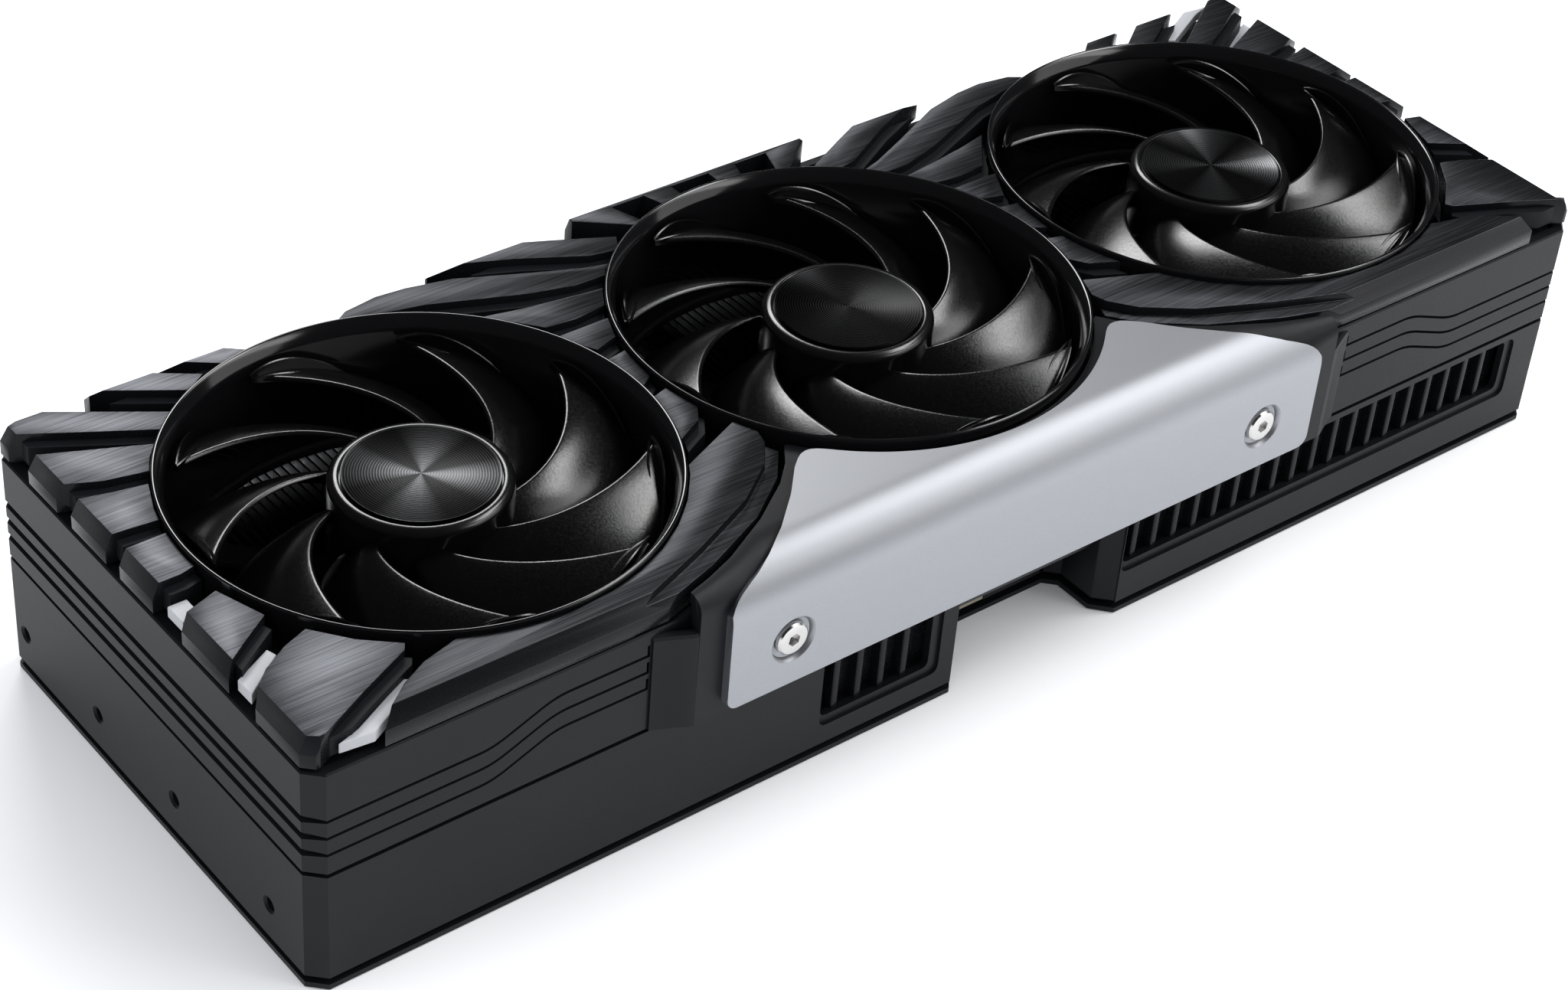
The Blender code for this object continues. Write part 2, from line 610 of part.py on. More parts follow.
def make_diffusers():
    """Light guides: one curves round the left ring and shows in three gaps of the trim."""
    low, high = TRIM_BASE_TOP + GAP, 57.0
    centre = fan_centre(1)
    bar = arc(centre, 51.4, 187, 241, 14) + arc(centre, 52.0, 241, 187, 14)
    left = add_object("left_light_diffuser", prism("diffuser", bar, low, low + 1.2), DIFFUSER)
    corner_strip = [(-157.0, -55.4), (-151.5, -55.4), (-144.0, -50.8), (-137.0, -47.2), (-132.2, -45.3),
                    (-133.6, -43.9), (-139.5, -46.2), (-150.0, -51.3), (-157.0, -54.6)]
    strips = [[(-164.5, -12.2), (-157.5, -10.0), (-156.5, -9.6), (-157.0, -6.4), (-164.5, -7.2)],
              [(-164.5, -36.0), (-160.2, -32.8), (-155.5, -29.4), (-150.3, -26.3), (-151.6, -24.1),
               (-156.2, -27.2), (-164.5, -31.6)],
              corner_strip]
    for strip in strips:
        boolean(left, prism("strip", strip, low + 0.1, high), "UNION", "MANIFOLD")
    turned = [(-x, -y) for x, y in corner_strip]
    add_object("right_light_diffuser", prism("diffuser", turned, low, high), DIFFUSER)


# ---------------------------------------------------------------- bezel and silver plate

def bend_profile(top, front, radius, start, bottom):
    """Outer line in the YZ plane: flat top, round bend, straight front."""
    centre = (front + radius, top - radius)
    return [(start, top)] + arc(centre, radius, 90, 180, 8) + [(front, bottom)]


def make_bezel():
    bottom = BAND_BOTTOM
    flank, edge = 84.5, 92.6
    wall = [(-edge, BEZEL_BACK), (-flank, BEZEL_FRONT), (flank, BEZEL_FRONT), (edge, BEZEL_BACK)]
    bezel = add_object("bezel", prism("bezel", wall, bottom, BEZEL_TOP), SATIN_BLACK)
    side = [(41.5, -31.0), (45.0, -35.8), (50.0, -40.5), (60.0, -47.2), (72.0, -53.4), (84.0, -57.8),
            (84.5, BEZEL_FRONT)]
    deck = [(-x, y) for x, y in side] + list(reversed(side)) + [(30.0, -36.0), (-30.0, -36.0)]
    boolean(bezel, prism("bezel_deck", deck, BEZEL_FLOOR, BEZEL_TOP), "UNION")
    profile = bend_profile(BEZEL_TOP, BEZEL_FRONT, BEZEL_BEND, -20.0, bottom)
    limit = profile + [(-20.0, bottom)]
    boolean(bezel, prism("bezel_limit", limit, -edge - 1.0, edge + 1.0, "X"), "INTERSECT")
    cut_ring_holes(bezel, (2,), bottom - 1.0, BEZEL_TOP + 1.0)
    for side_sign in (-1, 1):
        hole = arc((side_sign * PLATE_SCREW_X, PLATE_SCREW_Z), 2.2, 0, 330, 11)
        boolean(bezel, prism("bezel_hole", hole, BEZEL_FRONT - 1.0, BEZEL_BACK + 1.0, "Y"))


def plate_point(distance, inward):
    """Point of the bent plate at a distance along its line from Y = 0, as (y, z)."""
    radius = PLATE_BEND
    bend_y = PLATE_FRONT + radius
    bend_z = PLATE_TOP - radius
    flat = -bend_y
    turn = radius * math.pi / 2
    if distance <= flat:
        return (-distance, PLATE_TOP - inward)
    if distance <= flat + turn:
        angle = math.pi / 2 + (distance - flat) / radius
        reach = radius - inward
        return (bend_y + reach * math.cos(angle), bend_z + reach * math.sin(angle))
    return (PLATE_FRONT + inward, bend_z - (distance - flat - turn))


def plate_start(x):
    """Where the plate begins along its line: ring arc, shoulder, then flank."""
    reach = abs(x)
    if reach <= 37.0:
        return -FAN_CENTRE_Y + math.sqrt(PLATE_ARC ** 2 - reach ** 2)
    points = [(37.0, 38.9), (40.0, 37.3), (43.0, 37.3), (46.0, 39.8), (52.0, 46.2), (60.0, 53.3),
              (70.0, 60.5), (75.0, 65.2), (77.3, 69.0), (PLATE_HALF, 73.0)]
    for (x0, s0), (x1, s1) in zip(points, points[1:]):
        if reach <= x1:
            return s0 + (s1 - s0) * (reach - x0) / (x1 - x0)
    return points[-1][1]


def make_silver_plate():
    straight = -(PLATE_FRONT + PLATE_BEND) + PLATE_BEND * math.pi / 2
    length = straight + (PLATE_TOP - PLATE_BEND - PLATE_BOTTOM)
    stations = [0.0, 12.0, 24.0, 32.0, 37.0, 40.0, 43.0, 46.0, 52.0, 60.0, 66.0, 70.0, 75.0, 77.3, PLATE_HALF]
    columns = [-x for x in reversed(stations[1:])] + stations
    rows = 10
    bm = bmesh.new()
    layers = []
    for inward in (0.0, PLATE_THICKNESS):
        grid = []
        for x in columns:
            start = plate_start(x)
            corner = 1.6 if abs(x) == PLATE_HALF else 0.0
            end = length - corner
            column = []
            for row in range(rows + 1):
                y, z = plate_point(start + (end - start) * row / rows, inward)
                column.append(bm.verts.new((x, y, z)))
            grid.append(column)
        layers.append(grid)
    outer, inner = layers
    last = len(columns) - 1
    for index in range(last):
        for row in range(rows):
            for grid in layers:
                bm.faces.new((grid[index][row], grid[index + 1][row], grid[index + 1][row + 1], grid[index][row + 1]))
        for row in (0, rows):
            bm.faces.new((outer[index][row], outer[index + 1][row], inner[index + 1][row], inner[index][row]))
    for index in (0, last):
        for row in range(rows):
            bm.faces.new((outer[index][row], outer[index][row + 1], inner[index][row + 1], inner[index][row]))
    plate = add_object("silver_plate", finish_mesh("silver_plate", bm), SILVER)
    for side in (-1, 1):
        hole = arc((side * PLATE_SCREW_X, PLATE_SCREW_Z), 4.4, 0, 345, 23)
        boolean(plate, prism("plate_hole", hole, PLATE_FRONT - 1.0, BEZEL_FRONT - 0.2, "Y"))


def make_plate_screws():
    """Socket screws that sit in the plate's dishes and pass through the bezel."""
    for name, side in (("left_plate_screw", -1), ("right_plate_screw", 1)):
        head = arc((side * PLATE_SCREW_X, PLATE_SCREW_Z), 3.9, 0, 345, 23)
        shank = arc((side * PLATE_SCREW_X, PLATE_SCREW_Z), 1.5, 0, 330, 11)
        screw = add_object(name, prism(name, head, PLATE_FRONT - 0.1, BEZEL_FRONT - 0.35, "Y"), STEEL)
        boolean(screw, prism("shank", shank, BEZEL_FRONT - 0.8, BEZEL_BACK + 0.2, "Y"), "UNION")
        socket = arc((side * PLATE_SCREW_X, PLATE_SCREW_Z), 1.2, 0, 300, 5)
        boolean(screw, prism("socket", socket, PLATE_FRONT - 1.0, PLATE_FRONT + 1.0, "Y"))


# ---------------------------------------------------------------- fans

def make_ring(number):
    profile = [(RING_INNER, RING_BOTTOM), (RING_OUTER, RING_BOTTOM), (RING_OUTER, RING_TOP - 0.9),
               (RING_OUTER - 0.8, RING_TOP), (RING_OUTER - 1.6, RING_TOP - 0.1), (RING_INNER, RING_TOP - 1.6)]
    ring = add_object(f"fan_ring_{number}", lathe("ring", profile, fan_centre(number), 40), GLOSS_BLACK)
    smooth(ring)


def make_mount(number):
    """Motor seat on four struts inside a thin rim."""
    centre = fan_centre(number)
    rim = tube("mount", RING_INNER - 0.6, RING_OUTER - 0.3, MOUNT_BOTTOM, MOUNT_TOP, centre, 32)
    mount = add_object(f"fan_mount_{number}", rim, PLASTIC)
    boolean(mount, disc("seat", 15.5, MOUNT_BOTTOM, MOUNT_TOP, centre, 24), "UNION")
    for index in range(4):
        angle = math.radians(45 + 90 * index)
        along = Vector((math.cos(angle), math.sin(angle)))
        across = Vector((-along.y, along.x)) * 3.0
        start = Vector(centre) + along * 12.0
        end = Vector(centre) + along * 49.0
        strut = [start - across, end - across, end + across, start + across]
        boolean(mount, prism("strut", [tuple(point) for point in strut], MOUNT_BOTTOM + 0.3, MOUNT_TOP - 0.3), "UNION")


def make_motor(number):
    centre = fan_centre(number)
    x, y = centre
    bearing = tube("bearing", BEARING_INNER, BEARING_OUTER, MOUNT_TOP + GAP, 54.5, centre, 20)
    add_object(f"fan_bearing_{number}", bearing, STEEL)
    poles = 6
    outline = []
    for index in range(poles):
        middle = 360 / poles * index
        outline += arc(centre, 5.4, middle - 25, middle - 12, 1)
        outline += arc(centre, STATOR_OUTER, middle - 22, middle + 22, 3)
        outline += arc(centre, 5.4, middle + 12, middle + 25, 1)
    stator = add_object(f"fan_stator_{number}", prism("stator", outline, 37.0, 50.0), COPPER)
    boolean(stator, disc("stator_hole", BEARING_OUTER + GAP, 36.0, 51.0, centre, 20))
    shaft = disc("shaft", SHAFT_RADIUS, MOUNT_TOP + 0.5, HUB_TOP - CUP_WALL - 0.3, centre, 16)
    add_object(f"fan_shaft_{number}", shaft, STEEL, (x, y, 0))


def blade_edge(fraction):
    """Leading edge: angle in degrees from the blade's phase, and height."""
    angle = BLADE_SWEEP * fraction + BLADE_SWEEP_EASE * fraction ** 2
    height = BLADE_ROOT_Z + BLADE_RISE * fraction + BLADE_RISE_EASE * fraction ** 2
    return angle, height


def add_blade(bm, centre, phase):
    """A swept blade: a closed grid from root to tip and from leading to trailing edge."""
    radial, chordal = 5, 3
    layers = []
    for thickness in (0.0, BLADE_THICKNESS):
        grid = []
        for i in range(radial + 1):
            fraction = i / radial
            radius = BLADE_ROOT + (BLADE_TIP - BLADE_ROOT) * fraction
            lead, top = blade_edge(fraction)
            row = []
            for j in range(chordal + 1):
                back = j / chordal
                angle = math.radians(phase + lead - BLADE_CHORD * back)
                drop = BLADE_DROP * (0.6 * back + 0.4 * back ** 2)
                row.append(bm.verts.new((centre[0] + radius * math.cos(angle),
                                         centre[1] + radius * math.sin(angle),
                                         top - drop - thickness)))
            grid.append(row)
        layers.append(grid)
    upper, lower = layers
    for i in range(radial):
        for j in range(chordal):
            bm.faces.new((upper[i][j], upper[i + 1][j], upper[i + 1][j + 1], upper[i][j + 1]))
            bm.faces.new((lower[i][j], lower[i][j + 1], lower[i + 1][j + 1], lower[i + 1][j]))
        for j in (0, chordal):
            bm.faces.new((upper[i][j], upper[i + 1][j], lower[i + 1][j], lower[i][j]))
    for j in range(chordal):
        for i in (0, radial):
            bm.faces.new((upper[i][j], upper[i][j + 1], lower[i][j + 1], lower[i][j]))


def make_rotor(number):
    centre = fan_centre(number)
    x, y = centre
    inner = HUB_RADIUS - CUP_WALL
    profile = [(0.0, HUB_TOP), (0.0, HUB_TOP - CUP_WALL), (inner, HUB_TOP - CUP_WALL), (inner, HUB_BOTTOM),
               (HUB_RADIUS, HUB_BOTTOM), (HUB_RADIUS, HUB_TOP - 1.4), (HUB_RADIUS - 0.6, HUB_TOP - 0.3),
               (HUB_RADIUS - 1.4, HUB_TOP)]
    rotor = add_object(f"fan_rotor_{number}", lathe("rotor", profile, centre, 36), BLADE_BLACK, (x, y, 0))
    bm = bmesh.new()
    for index in range(BLADES):
        add_blade(bm, (0.0, 0.0), FAN_PHASES[number] + 360 / BLADES * index)
    boolean(rotor, finish_mesh("blades", bm), "UNION")
    blades = rotor.modifiers[-1].object
    blades.location = rotor.location
    cap_profile = [(0.0, CAP_TOP), (0.0, HUB_TOP + 0.3), (CAP_RADIUS - 0.3, HUB_TOP + 0.3),
                   (CAP_RADIUS, HUB_TOP + 0.6), (CAP_RADIUS, CAP_TOP - 0.3), (CAP_RADIUS - 0.3, CAP_TOP)]
    cap = add_object(f"hub_cap_{number}", lathe("cap", cap_profile, centre, 32), SPUN, (x, y, 0))
    smooth(cap)


def main():
    make_backplate()
    make_board()
    make_chips()
    make_cooler()
    make_fin_stack("rear_fin_stack", -158.0, 66)
    make_fin_stack("front_fin_stack", -22.0, 88)
    make_power_connector()
    make_bracket()
    make_ports()
    make_lower_frame()
    make_shroud()
    make_end_trims()
    make_centre_trims()
    make_front_panels()
    make_bridge()
    make_diffusers()
    make_bezel()
    make_silver_plate()
    make_plate_screws()
    for number in (1, 2, 3):
        make_ring(number)
        make_mount(number)
        make_motor(number)
        make_rotor(number)


clear_scene()
main()
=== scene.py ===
"""Looks of a triple-fan graphics card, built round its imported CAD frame.

Lengths here are in millimetres and become metres when a mesh is made; only the stage,
last in this file, is laid out in metres. Places and sizes come from the frame's node
boxes; the constants below are surface detail.
"""
import math

import bmesh
import bpy
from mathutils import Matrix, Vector


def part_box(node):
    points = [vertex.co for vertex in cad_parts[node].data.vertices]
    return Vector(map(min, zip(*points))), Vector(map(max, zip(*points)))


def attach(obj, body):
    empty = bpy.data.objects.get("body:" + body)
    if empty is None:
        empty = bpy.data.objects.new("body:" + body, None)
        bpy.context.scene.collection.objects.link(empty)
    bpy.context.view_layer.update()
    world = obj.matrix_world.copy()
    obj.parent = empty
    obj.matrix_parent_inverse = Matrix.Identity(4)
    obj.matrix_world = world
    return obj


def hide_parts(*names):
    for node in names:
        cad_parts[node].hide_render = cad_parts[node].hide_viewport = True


MM = 0.001
WELD_REACH = 0.0005
FLAT_ANGLE = math.radians(0.5)

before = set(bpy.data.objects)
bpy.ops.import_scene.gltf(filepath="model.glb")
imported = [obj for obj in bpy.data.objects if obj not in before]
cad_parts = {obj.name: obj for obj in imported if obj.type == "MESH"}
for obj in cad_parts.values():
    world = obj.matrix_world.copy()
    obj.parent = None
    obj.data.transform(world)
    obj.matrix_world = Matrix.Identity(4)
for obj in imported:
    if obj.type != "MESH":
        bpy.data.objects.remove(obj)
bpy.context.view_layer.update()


def node_box(node):
    """Lowest and highest corner of a CAD node, in millimetres."""
    low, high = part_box(node)
    return low / MM, high / MM


# -------------------- sizes

SHROUD_LOW, SHROUD_HIGH = node_box("fan_shroud")
FRAME_LOW, FRAME_HIGH = node_box("lower_frame")
TRIM_LOW, TRIM_HIGH = node_box("left_front_panel")
PLATE_LOW, PLATE_HIGH = node_box("silver_plate")
BEZEL_LOW, BEZEL_HIGH = node_box("bezel")
BOARD_LOW, BOARD_HIGH = node_box("circuit_board")
HALF_LENGTH = SHROUD_HIGH.x
HALF_WIDTH = SHROUD_HIGH.y
CORNER = 3.3
WALL = 2.4

FANS = (1, 2, 3)
FAN_PHASES = {1: 48.6, 2: 59.3, 3: 43.0}
BLADES = 9
BLADE_ROOT = 17.4
BLADE_TIP = 47.0
BLADE_CHORD = 38.0
HIGHLIGHT_CONE_TURN = 47.5
CAP_RING_PITCH = 0.55
# each fan's cap: tone, number of painted highlight cones, strength of its fine rings
CAP_LOOKS = {1: (0.026, 4.0, 0.1), 2: (0.014, 2.0, 0.35), 3: (0.06, 4.0, 0.1)}
BLADE_DROP = 11.5
BLADE_THICKNESS = 1.3
BLADE_RIM = 0.25
LIP_WIDTH = 1.1
LIP_HEIGHT = 0.85
HUB_EDGE = 18.1
HUB_BOTTOM = 40.0
HUB_WALL = 1.4

GROOVES = (33.3, 37.3, 41.3)
GROOVE_LIFT = 5.5
LIFT_INNER = 111.0
LIFT_OUTER = 130.8
LIFT_EASE = 6.0
GROOVE_END = 93.2
STEP_HEIGHT = 2.6
GROOVE_DEPTH = 0.9
CORNER_LEAN = 0.41

BEZEL_BEND = 12.0
BEZEL_ARC = 51.3
BEZEL_THICKNESS = 1.6
POST_END = 84.5
FLANK_END = -57.65
FLANK_TOP = 51.2

PLATE_BEND = 10.0
PLATE_THICKNESS = 2.0
PLATE_CORNER = 2.5
PLATE_ARC = 53.5
PLATE_ARC_END = 37.0

FIN_REACH = 51.0
RIB_PITCH = 6.02
RIB_WIDTH = 1.7
LEDGE_TOP = 58.3
LEDGE_SHIFT = 2.4
LEDGE_INSET = 2.3
RIGHT_WINDOW = (33.8, 152.0, 12.5, 25.7)
LEFT_WINDOW = (-48.3, -20.0, 9.4, 25.7)
NOTCH_WALL = [(33.2, -56.9), (29.6, -53.2), (29.6, -43.6), (27.0, -40.9), (9.5, -40.9)]
NOTCH_BACK = -40.9
NOTCH_LEFT = -13.7
NOTCH_RIGHT = 33.0
RING_GAP = 0.4
RING_WALL = 2.4
TONGUE = (33.0, 122.0)
KEY_X = 109.35
KEY_CLEAR = 1.6
FIRST_CONTACT = 5.5
CONTACT_PITCH = 1.0


def fan_centre(number):
    low, high = node_box(f"fan_ring_{number}")
    return ((low.x + high.x) / 2, (low.y + high.y) / 2)


# -------------------- mesh helpers

def arc(centre, radius, start, end, steps):
    """Points on a circle from one angle to the other, in degrees."""
    points = []
    for index in range(steps + 1):
        angle = math.radians(start + (end - start) * index / steps)
        points.append((centre[0] + radius * math.cos(angle), centre[1] + radius * math.sin(angle)))
    return points


def box_outline(left, near, right, far):
    return [(left, near), (right, near), (right, far), (left, far)]


def rounded(outline, radius, steps=4):
    """The outline with each corner turned into a short curve."""
    points = []
    for index, corner in enumerate(outline):
        here = Vector(corner)
        before = Vector(outline[index - 1]) - here
        after = Vector(outline[(index + 1) % len(outline)]) - here
        reach = min(radius, before.length * 0.45, after.length * 0.45)
        start = here + before.normalized() * reach
        end = here + after.normalized() * reach
        for step in range(steps + 1):
            t = step / steps
            point = start * (1 - t) ** 2 + here * 2 * t * (1 - t) + end * t ** 2
            points.append(tuple(point))
    return points


def body_outline(inset=0.0):
    """The card's plan: a rectangle with chamfered upright corners."""
    x = HALF_LENGTH - inset
    y = HALF_WIDTH - inset
    c = CORNER
    return [(-x + c, -y), (x - c, -y), (x, -y + c), (x, y - c),
            (x - c, y), (-x + c, y), (-x, y - c), (-x, -y + c)]


def add_prism(bm, outline, low, high, axis="Z"):
    """A straight prism on an outline; the axis, Z or Y, is the direction it runs in."""
    start, end = [[bm.verts.new((u, v, level) if axis == "Z" else (u, level, v))
                   for u, v in outline] for level in (low, high)]
    bm.faces.new(list(reversed(start)))
    bm.faces.new(end)
    for index in range(len(outline)):
        following = (index + 1) % len(outline)
        bm.faces.new((start[index], start[following], end[following], end[index]))


def prism(outline, low, high, axis="Z"):
    bm = bmesh.new()
    add_prism(bm, outline, low, high, axis)
    return bm


def add_lathe(bm, profile, centre, segments=96, axis="Z"):
    """Turn a closed (radius, height) profile about a line through the centre."""
    rings = []
    for radius, height in profile:
        ring = []
        for index in range(segments if radius else 1):
            angle = 2 * math.pi * index / segments
            u = centre[0] + radius * math.cos(angle)
            v = centre[1] + radius * math.sin(angle)
            ring.append(bm.verts.new((u, v, height) if axis == "Z" else (u, height, v)))
        rings.append(ring)
    for first, second in zip(rings, rings[1:] + rings[:1]):
        if len(first) == 1 and len(second) == 1:
            continue
        for index in range(segments):
            following = (index + 1) % segments
            if len(first) == 1:
                bm.faces.new((first[0], second[following], second[index]))
            elif len(second) == 1:
                bm.faces.new((first[index], first[following], second[0]))
            else:
                bm.faces.new((first[index], first[following], second[following], second[index]))


def lathe(profile, centre, segments=96, axis="Z"):
    bm = bmesh.new()
    add_lathe(bm, profile, centre, segments, axis)
    return bm


def add_strip(bm, sections, closed_path=False):
    """Join equal closed loops of points into one skin; an open path's ends are capped."""
    loops = [[bm.verts.new(point) for point in section] for section in sections]
    pairs = list(zip(loops, loops[1:]))
    if closed_path:
        pairs.append((loops[-1], loops[0]))
    for first, second in pairs:
        for index in range(len(first)):
            following = (index + 1) % len(first)
            bm.faces.new((first[index], first[following], second[following], second[index]))
    if not closed_path:
        bm.faces.new(list(reversed(loops[0])))
        bm.faces.new(loops[-1])


def add_shell(bm, outer, inner):
    """Cover two equal grids of vertices and close the rim between them."""
    last = len(outer) - 1
    rows = len(outer[0]) - 1
    for index in range(last):
        for row in range(rows):
            for grid in (outer, inner):
                bm.faces.new((grid[index][row], grid[index + 1][row],
                              grid[index + 1][row + 1], grid[index][row + 1]))
        for row in (0, rows):
            bm.faces.new((outer[index][row], outer[index + 1][row],
                          inner[index + 1][row], inner[index][row]))
    for index in (0, last):
        for row in range(rows):
            bm.faces.new((outer[index][row], outer[index][row + 1],
                          inner[index][row + 1], inner[index][row]))


def along(points, x):
    """Height of a line through points at a place, level beyond its last point."""
    for (x0, y0), (x1, y1) in zip(points, points[1:]):
        if x <= x1:
            return y0 + (y1 - y0) * (x - x0) / (x1 - x0)
    return points[-1][1]


def new_mesh(name, bm):
    """A mesh made from a bmesh, which is used up."""
    mesh = bpy.data.meshes.new(name)
    bm.to_mesh(mesh)
    bm.free()
    return mesh


def new_object(name, data):
    """An object linked into the scene."""
    obj = bpy.data.objects.new(name, data)
    bpy.context.scene.collection.objects.link(obj)
    return obj


def rejoin(bm):
    """Weld doubled vertices and rejoin flat faces."""
    bmesh.ops.remove_doubles(bm, verts=bm.verts, dist=WELD_REACH)
    bmesh.ops.dissolve_limit(bm, angle_limit=FLAT_ANGLE, verts=bm.verts, edges=bm.edges)


def combine(base, tool, operation="DIFFERENCE", solver="EXACT"):
    """Boolean of two closed bmeshes; both are used up."""
    objects = []
    for bm in (base, tool):
        bmesh.ops.recalc_face_normals(bm, faces=bm.faces)
        objects.append(new_object("temporary", new_mesh("temporary", bm)))
    modifier = objects[0].modifiers.new("cut", "BOOLEAN")
    modifier.operation = operation
    modifier.solver = solver
    modifier.object = objects[1]
    graph = bpy.context.evaluated_depsgraph_get()
    mesh = bpy.data.meshes.new_from_object(objects[0].evaluated_get(graph))
    result = bmesh.new()
    result.from_mesh(mesh)
    rejoin(result)
    bpy.data.meshes.remove(mesh)
    for obj in objects:
        old = obj.data
        bpy.data.objects.remove(obj)
        bpy.data.meshes.remove(old)
    return result


def copy_of(node):
    """A node's solid as a clean bmesh in millimetres."""
    bm = bmesh.new()
    bm.from_mesh(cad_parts[node].data)
    bmesh.ops.scale(bm, vec=(1 / MM,) * 3, verts=bm.verts)
    rejoin(bm)
    return bm


def clear_rings(bm, low, high):
    """Cut the fan rings' places out of a shape."""
    for number in FANS:
        ring_low, ring_high = node_box(f"fan_ring_{number}")
        radius = (ring_high.x - ring_low.x) / 2 + RING_GAP
        hole = [(0.0, low), (radius, low), (radius, high), (0.0, high)]
        bm = combine(bm, lathe(hole, fan_centre(number)))
    return bm


def piece(name, bm, material, replaces=(), body="card", bevel=0.0, segments=2,
          angle=30):
    """Make a named piece from a bmesh in millimetres and hang it on a body."""
    bmesh.ops.recalc_face_normals(bm, faces=bm.faces)
    bmesh.ops.scale(bm, vec=(MM, MM, MM), verts=bm.verts)
    mesh = new_mesh(name, bm)
    mesh.materials.append(material)
    mesh.shade_smooth()
    obj = new_object(name, mesh)
    if not bevel:
        mesh.set_sharp_from_angle(angle=math.radians(angle))
    else:
        modifier = obj.modifiers.new("edges", "BEVEL")
        modifier.width = bevel * MM
        modifier.segments = segments
        modifier.limit_method = "ANGLE"
        modifier.angle_limit = math.radians(angle)
        modifier.harden_normals = True
        modifier.miter_outer = "MITER_ARC"
    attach(obj, body)
    if replaces:
        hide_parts(*replaces)
    return obj


def refined(node, material, body="card", bevel=0.3, segments=2, angle=30):
    """A piece with a node's own shape and softened edges, in that node's place."""
    return piece("fine_" + node, copy_of(node), material, (node,), body, bevel,
                 segments, angle)


# -------------------- material helpers

class Paint:
    """One Principled material and short ways to add nodes to it."""

    def __init__(self, name, colour, metallic=0.0, specular=0.5, roughness=0.5):
        self.material = bpy.data.materials.new(name)
        self.material.use_nodes = True
        self.nodes = self.material.node_tree.nodes
        self.links = self.material.node_tree.links
        self.shader = self.nodes["Principled BSDF"]
        self.colour = colour
        self.put("Base Color", (*colour, 1.0))
        self.put("Roughness", roughness)
        self.put("Metallic", metallic)
        self.put("Specular IOR Level", specular)
        self.place = self.nodes.new("ShaderNodeTexCoord").outputs["Object"]

    def put(self, socket, value):
        self.shader.inputs[socket].default_value = value

    def link(self, output, target):
        self.links.new(output, target)

    def add(self, kind, *values):
        """A node of a kind, its first inputs set to numbers or linked; None leaves one as it is."""
        node = self.nodes.new("ShaderNode" + kind)
        for socket, value in zip(node.inputs, values):
            if isinstance(value, bpy.types.NodeSocket):
                self.link(value, socket)
            elif value is not None:
                socket.default_value = value
        return node

    def noise(self, scale, stretch=(1.0, 1.0, 1.0), detail=4.0, roughness=0.6):
        """Noise with a scale in features per metre, squeezed by stretch."""
        sizes = [scale * share for share in stretch]
        mapping = self.add("Mapping", self.place, None, None, sizes)
        node = self.add("TexNoise", mapping.outputs["Vector"], None, 1.0, detail, roughness)
        return node.outputs["Fac"]

    def ramp(self, source, low, high, out_low=0.0, out_high=1.0):
        """One range of values turned into another, clamped at its ends."""
        return self.add("MapRange", source, low, high, out_low, out_high).outputs["Result"]

    def maths(self, operation, first, second=None):
        node = self.add("Math", first, second)
        node.operation = operation
        return node.outputs["Value"]

    def mix(self, factor, first, second):
        """Base colour that runs from one colour to another."""
        node = self.nodes.new("ShaderNodeMix")
        node.data_type = "RGBA"
        node.inputs["A"].default_value = (*first, 1.0)
        node.inputs["B"].default_value = (*second, 1.0)
        self.link(factor, node.inputs["Factor"])
        self.link(node.outputs["Result"], self.shader.inputs["Base Color"])

    def shade(self, factor, dark, light):
        """Base colour that runs between two shares of the material's own colour."""
        self.mix(factor, [dark * c for c in self.colour], [light * c for c in self.colour])

    def bump(self, height, depth, strength):
        """Bump whose depth is in millimetres."""
        node = self.nodes.new("ShaderNodeBump")
        node.inputs["Strength"].default_value = strength
        node.inputs["Distance"].default_value = depth * MM
        self.link(height, node.inputs["Height"])
        self.link(node.outputs["Normal"], self.shader.inputs["Normal"])

    def rough(self, factor, low, high):
        """Roughness from low to high over the range where noise has most of its values."""
        self.link(self.ramp(factor, 0.3, 0.7, low, high), self.shader.inputs["Roughness"])

    def grain(self, scale, low, high, depth, strength, **noise):
        """Roughness and bump from one noise, which is returned."""
        source = self.noise(scale, **noise)
        self.rough(source, low, high)
        self.bump(source, depth, strength)
        return source


# -------------------- materials

def satin_plastic():
    """Fine-grained black casing."""
    paint = Paint("satin_plastic", (0.0056, 0.0060, 0.0076), specular=0.17)
    paint.grain(4500.0, 0.34, 0.5, 0.012, 0.5)
    paint.shade(paint.noise(60.0, detail=2.0), 0.8, 1.25)
    return paint.material


def brushed_trim(name, tone):
    """Dark anodised trim, brushed along the card. Its tone paints light into it: the left end's
    copy is lighter with painted light, the other trim's copy darker with painted shade.
    """
    paint = Paint(name, (0.88 * tone, 0.91 * tone, tone), 1.0)
    hairs = paint.noise(4200.0, (0.012, 1.0, 1.0), 3.0, 0.7)
    bands = paint.noise(1500.0, (0.014, 1.0, 1.0), 2.0)
    mixed = paint.maths("ADD", paint.maths("MULTIPLY", hairs, 0.65),
                        paint.maths("MULTIPLY", bands, 0.35))
    paint.shade(paint.ramp(mixed, 0.36, 0.64), 0.4, 1.6)
    paint.rough(mixed, 0.34, 0.46)
    paint.bump(mixed, 0.02, 0.5)
    paint.put("Anisotropic", 0.4)
    across = paint.add("CombineXYZ", 0.0, 1.0, 0.0)
    paint.link(across.outputs["Vector"], paint.shader.inputs["Tangent"])
    return paint.material


def dark_trim(name, colour, specular, low, high, cloudy=True):
    """Unbrushed dark surfaces of the trim; low and high bound the roughness."""
    paint = Paint(name, colour, specular=specular)
    paint.grain(3500.0, low, high, 0.006, 0.4)
    if cloudy:
        paint.shade(paint.noise(90.0), 0.8, 1.3)
    return paint.material


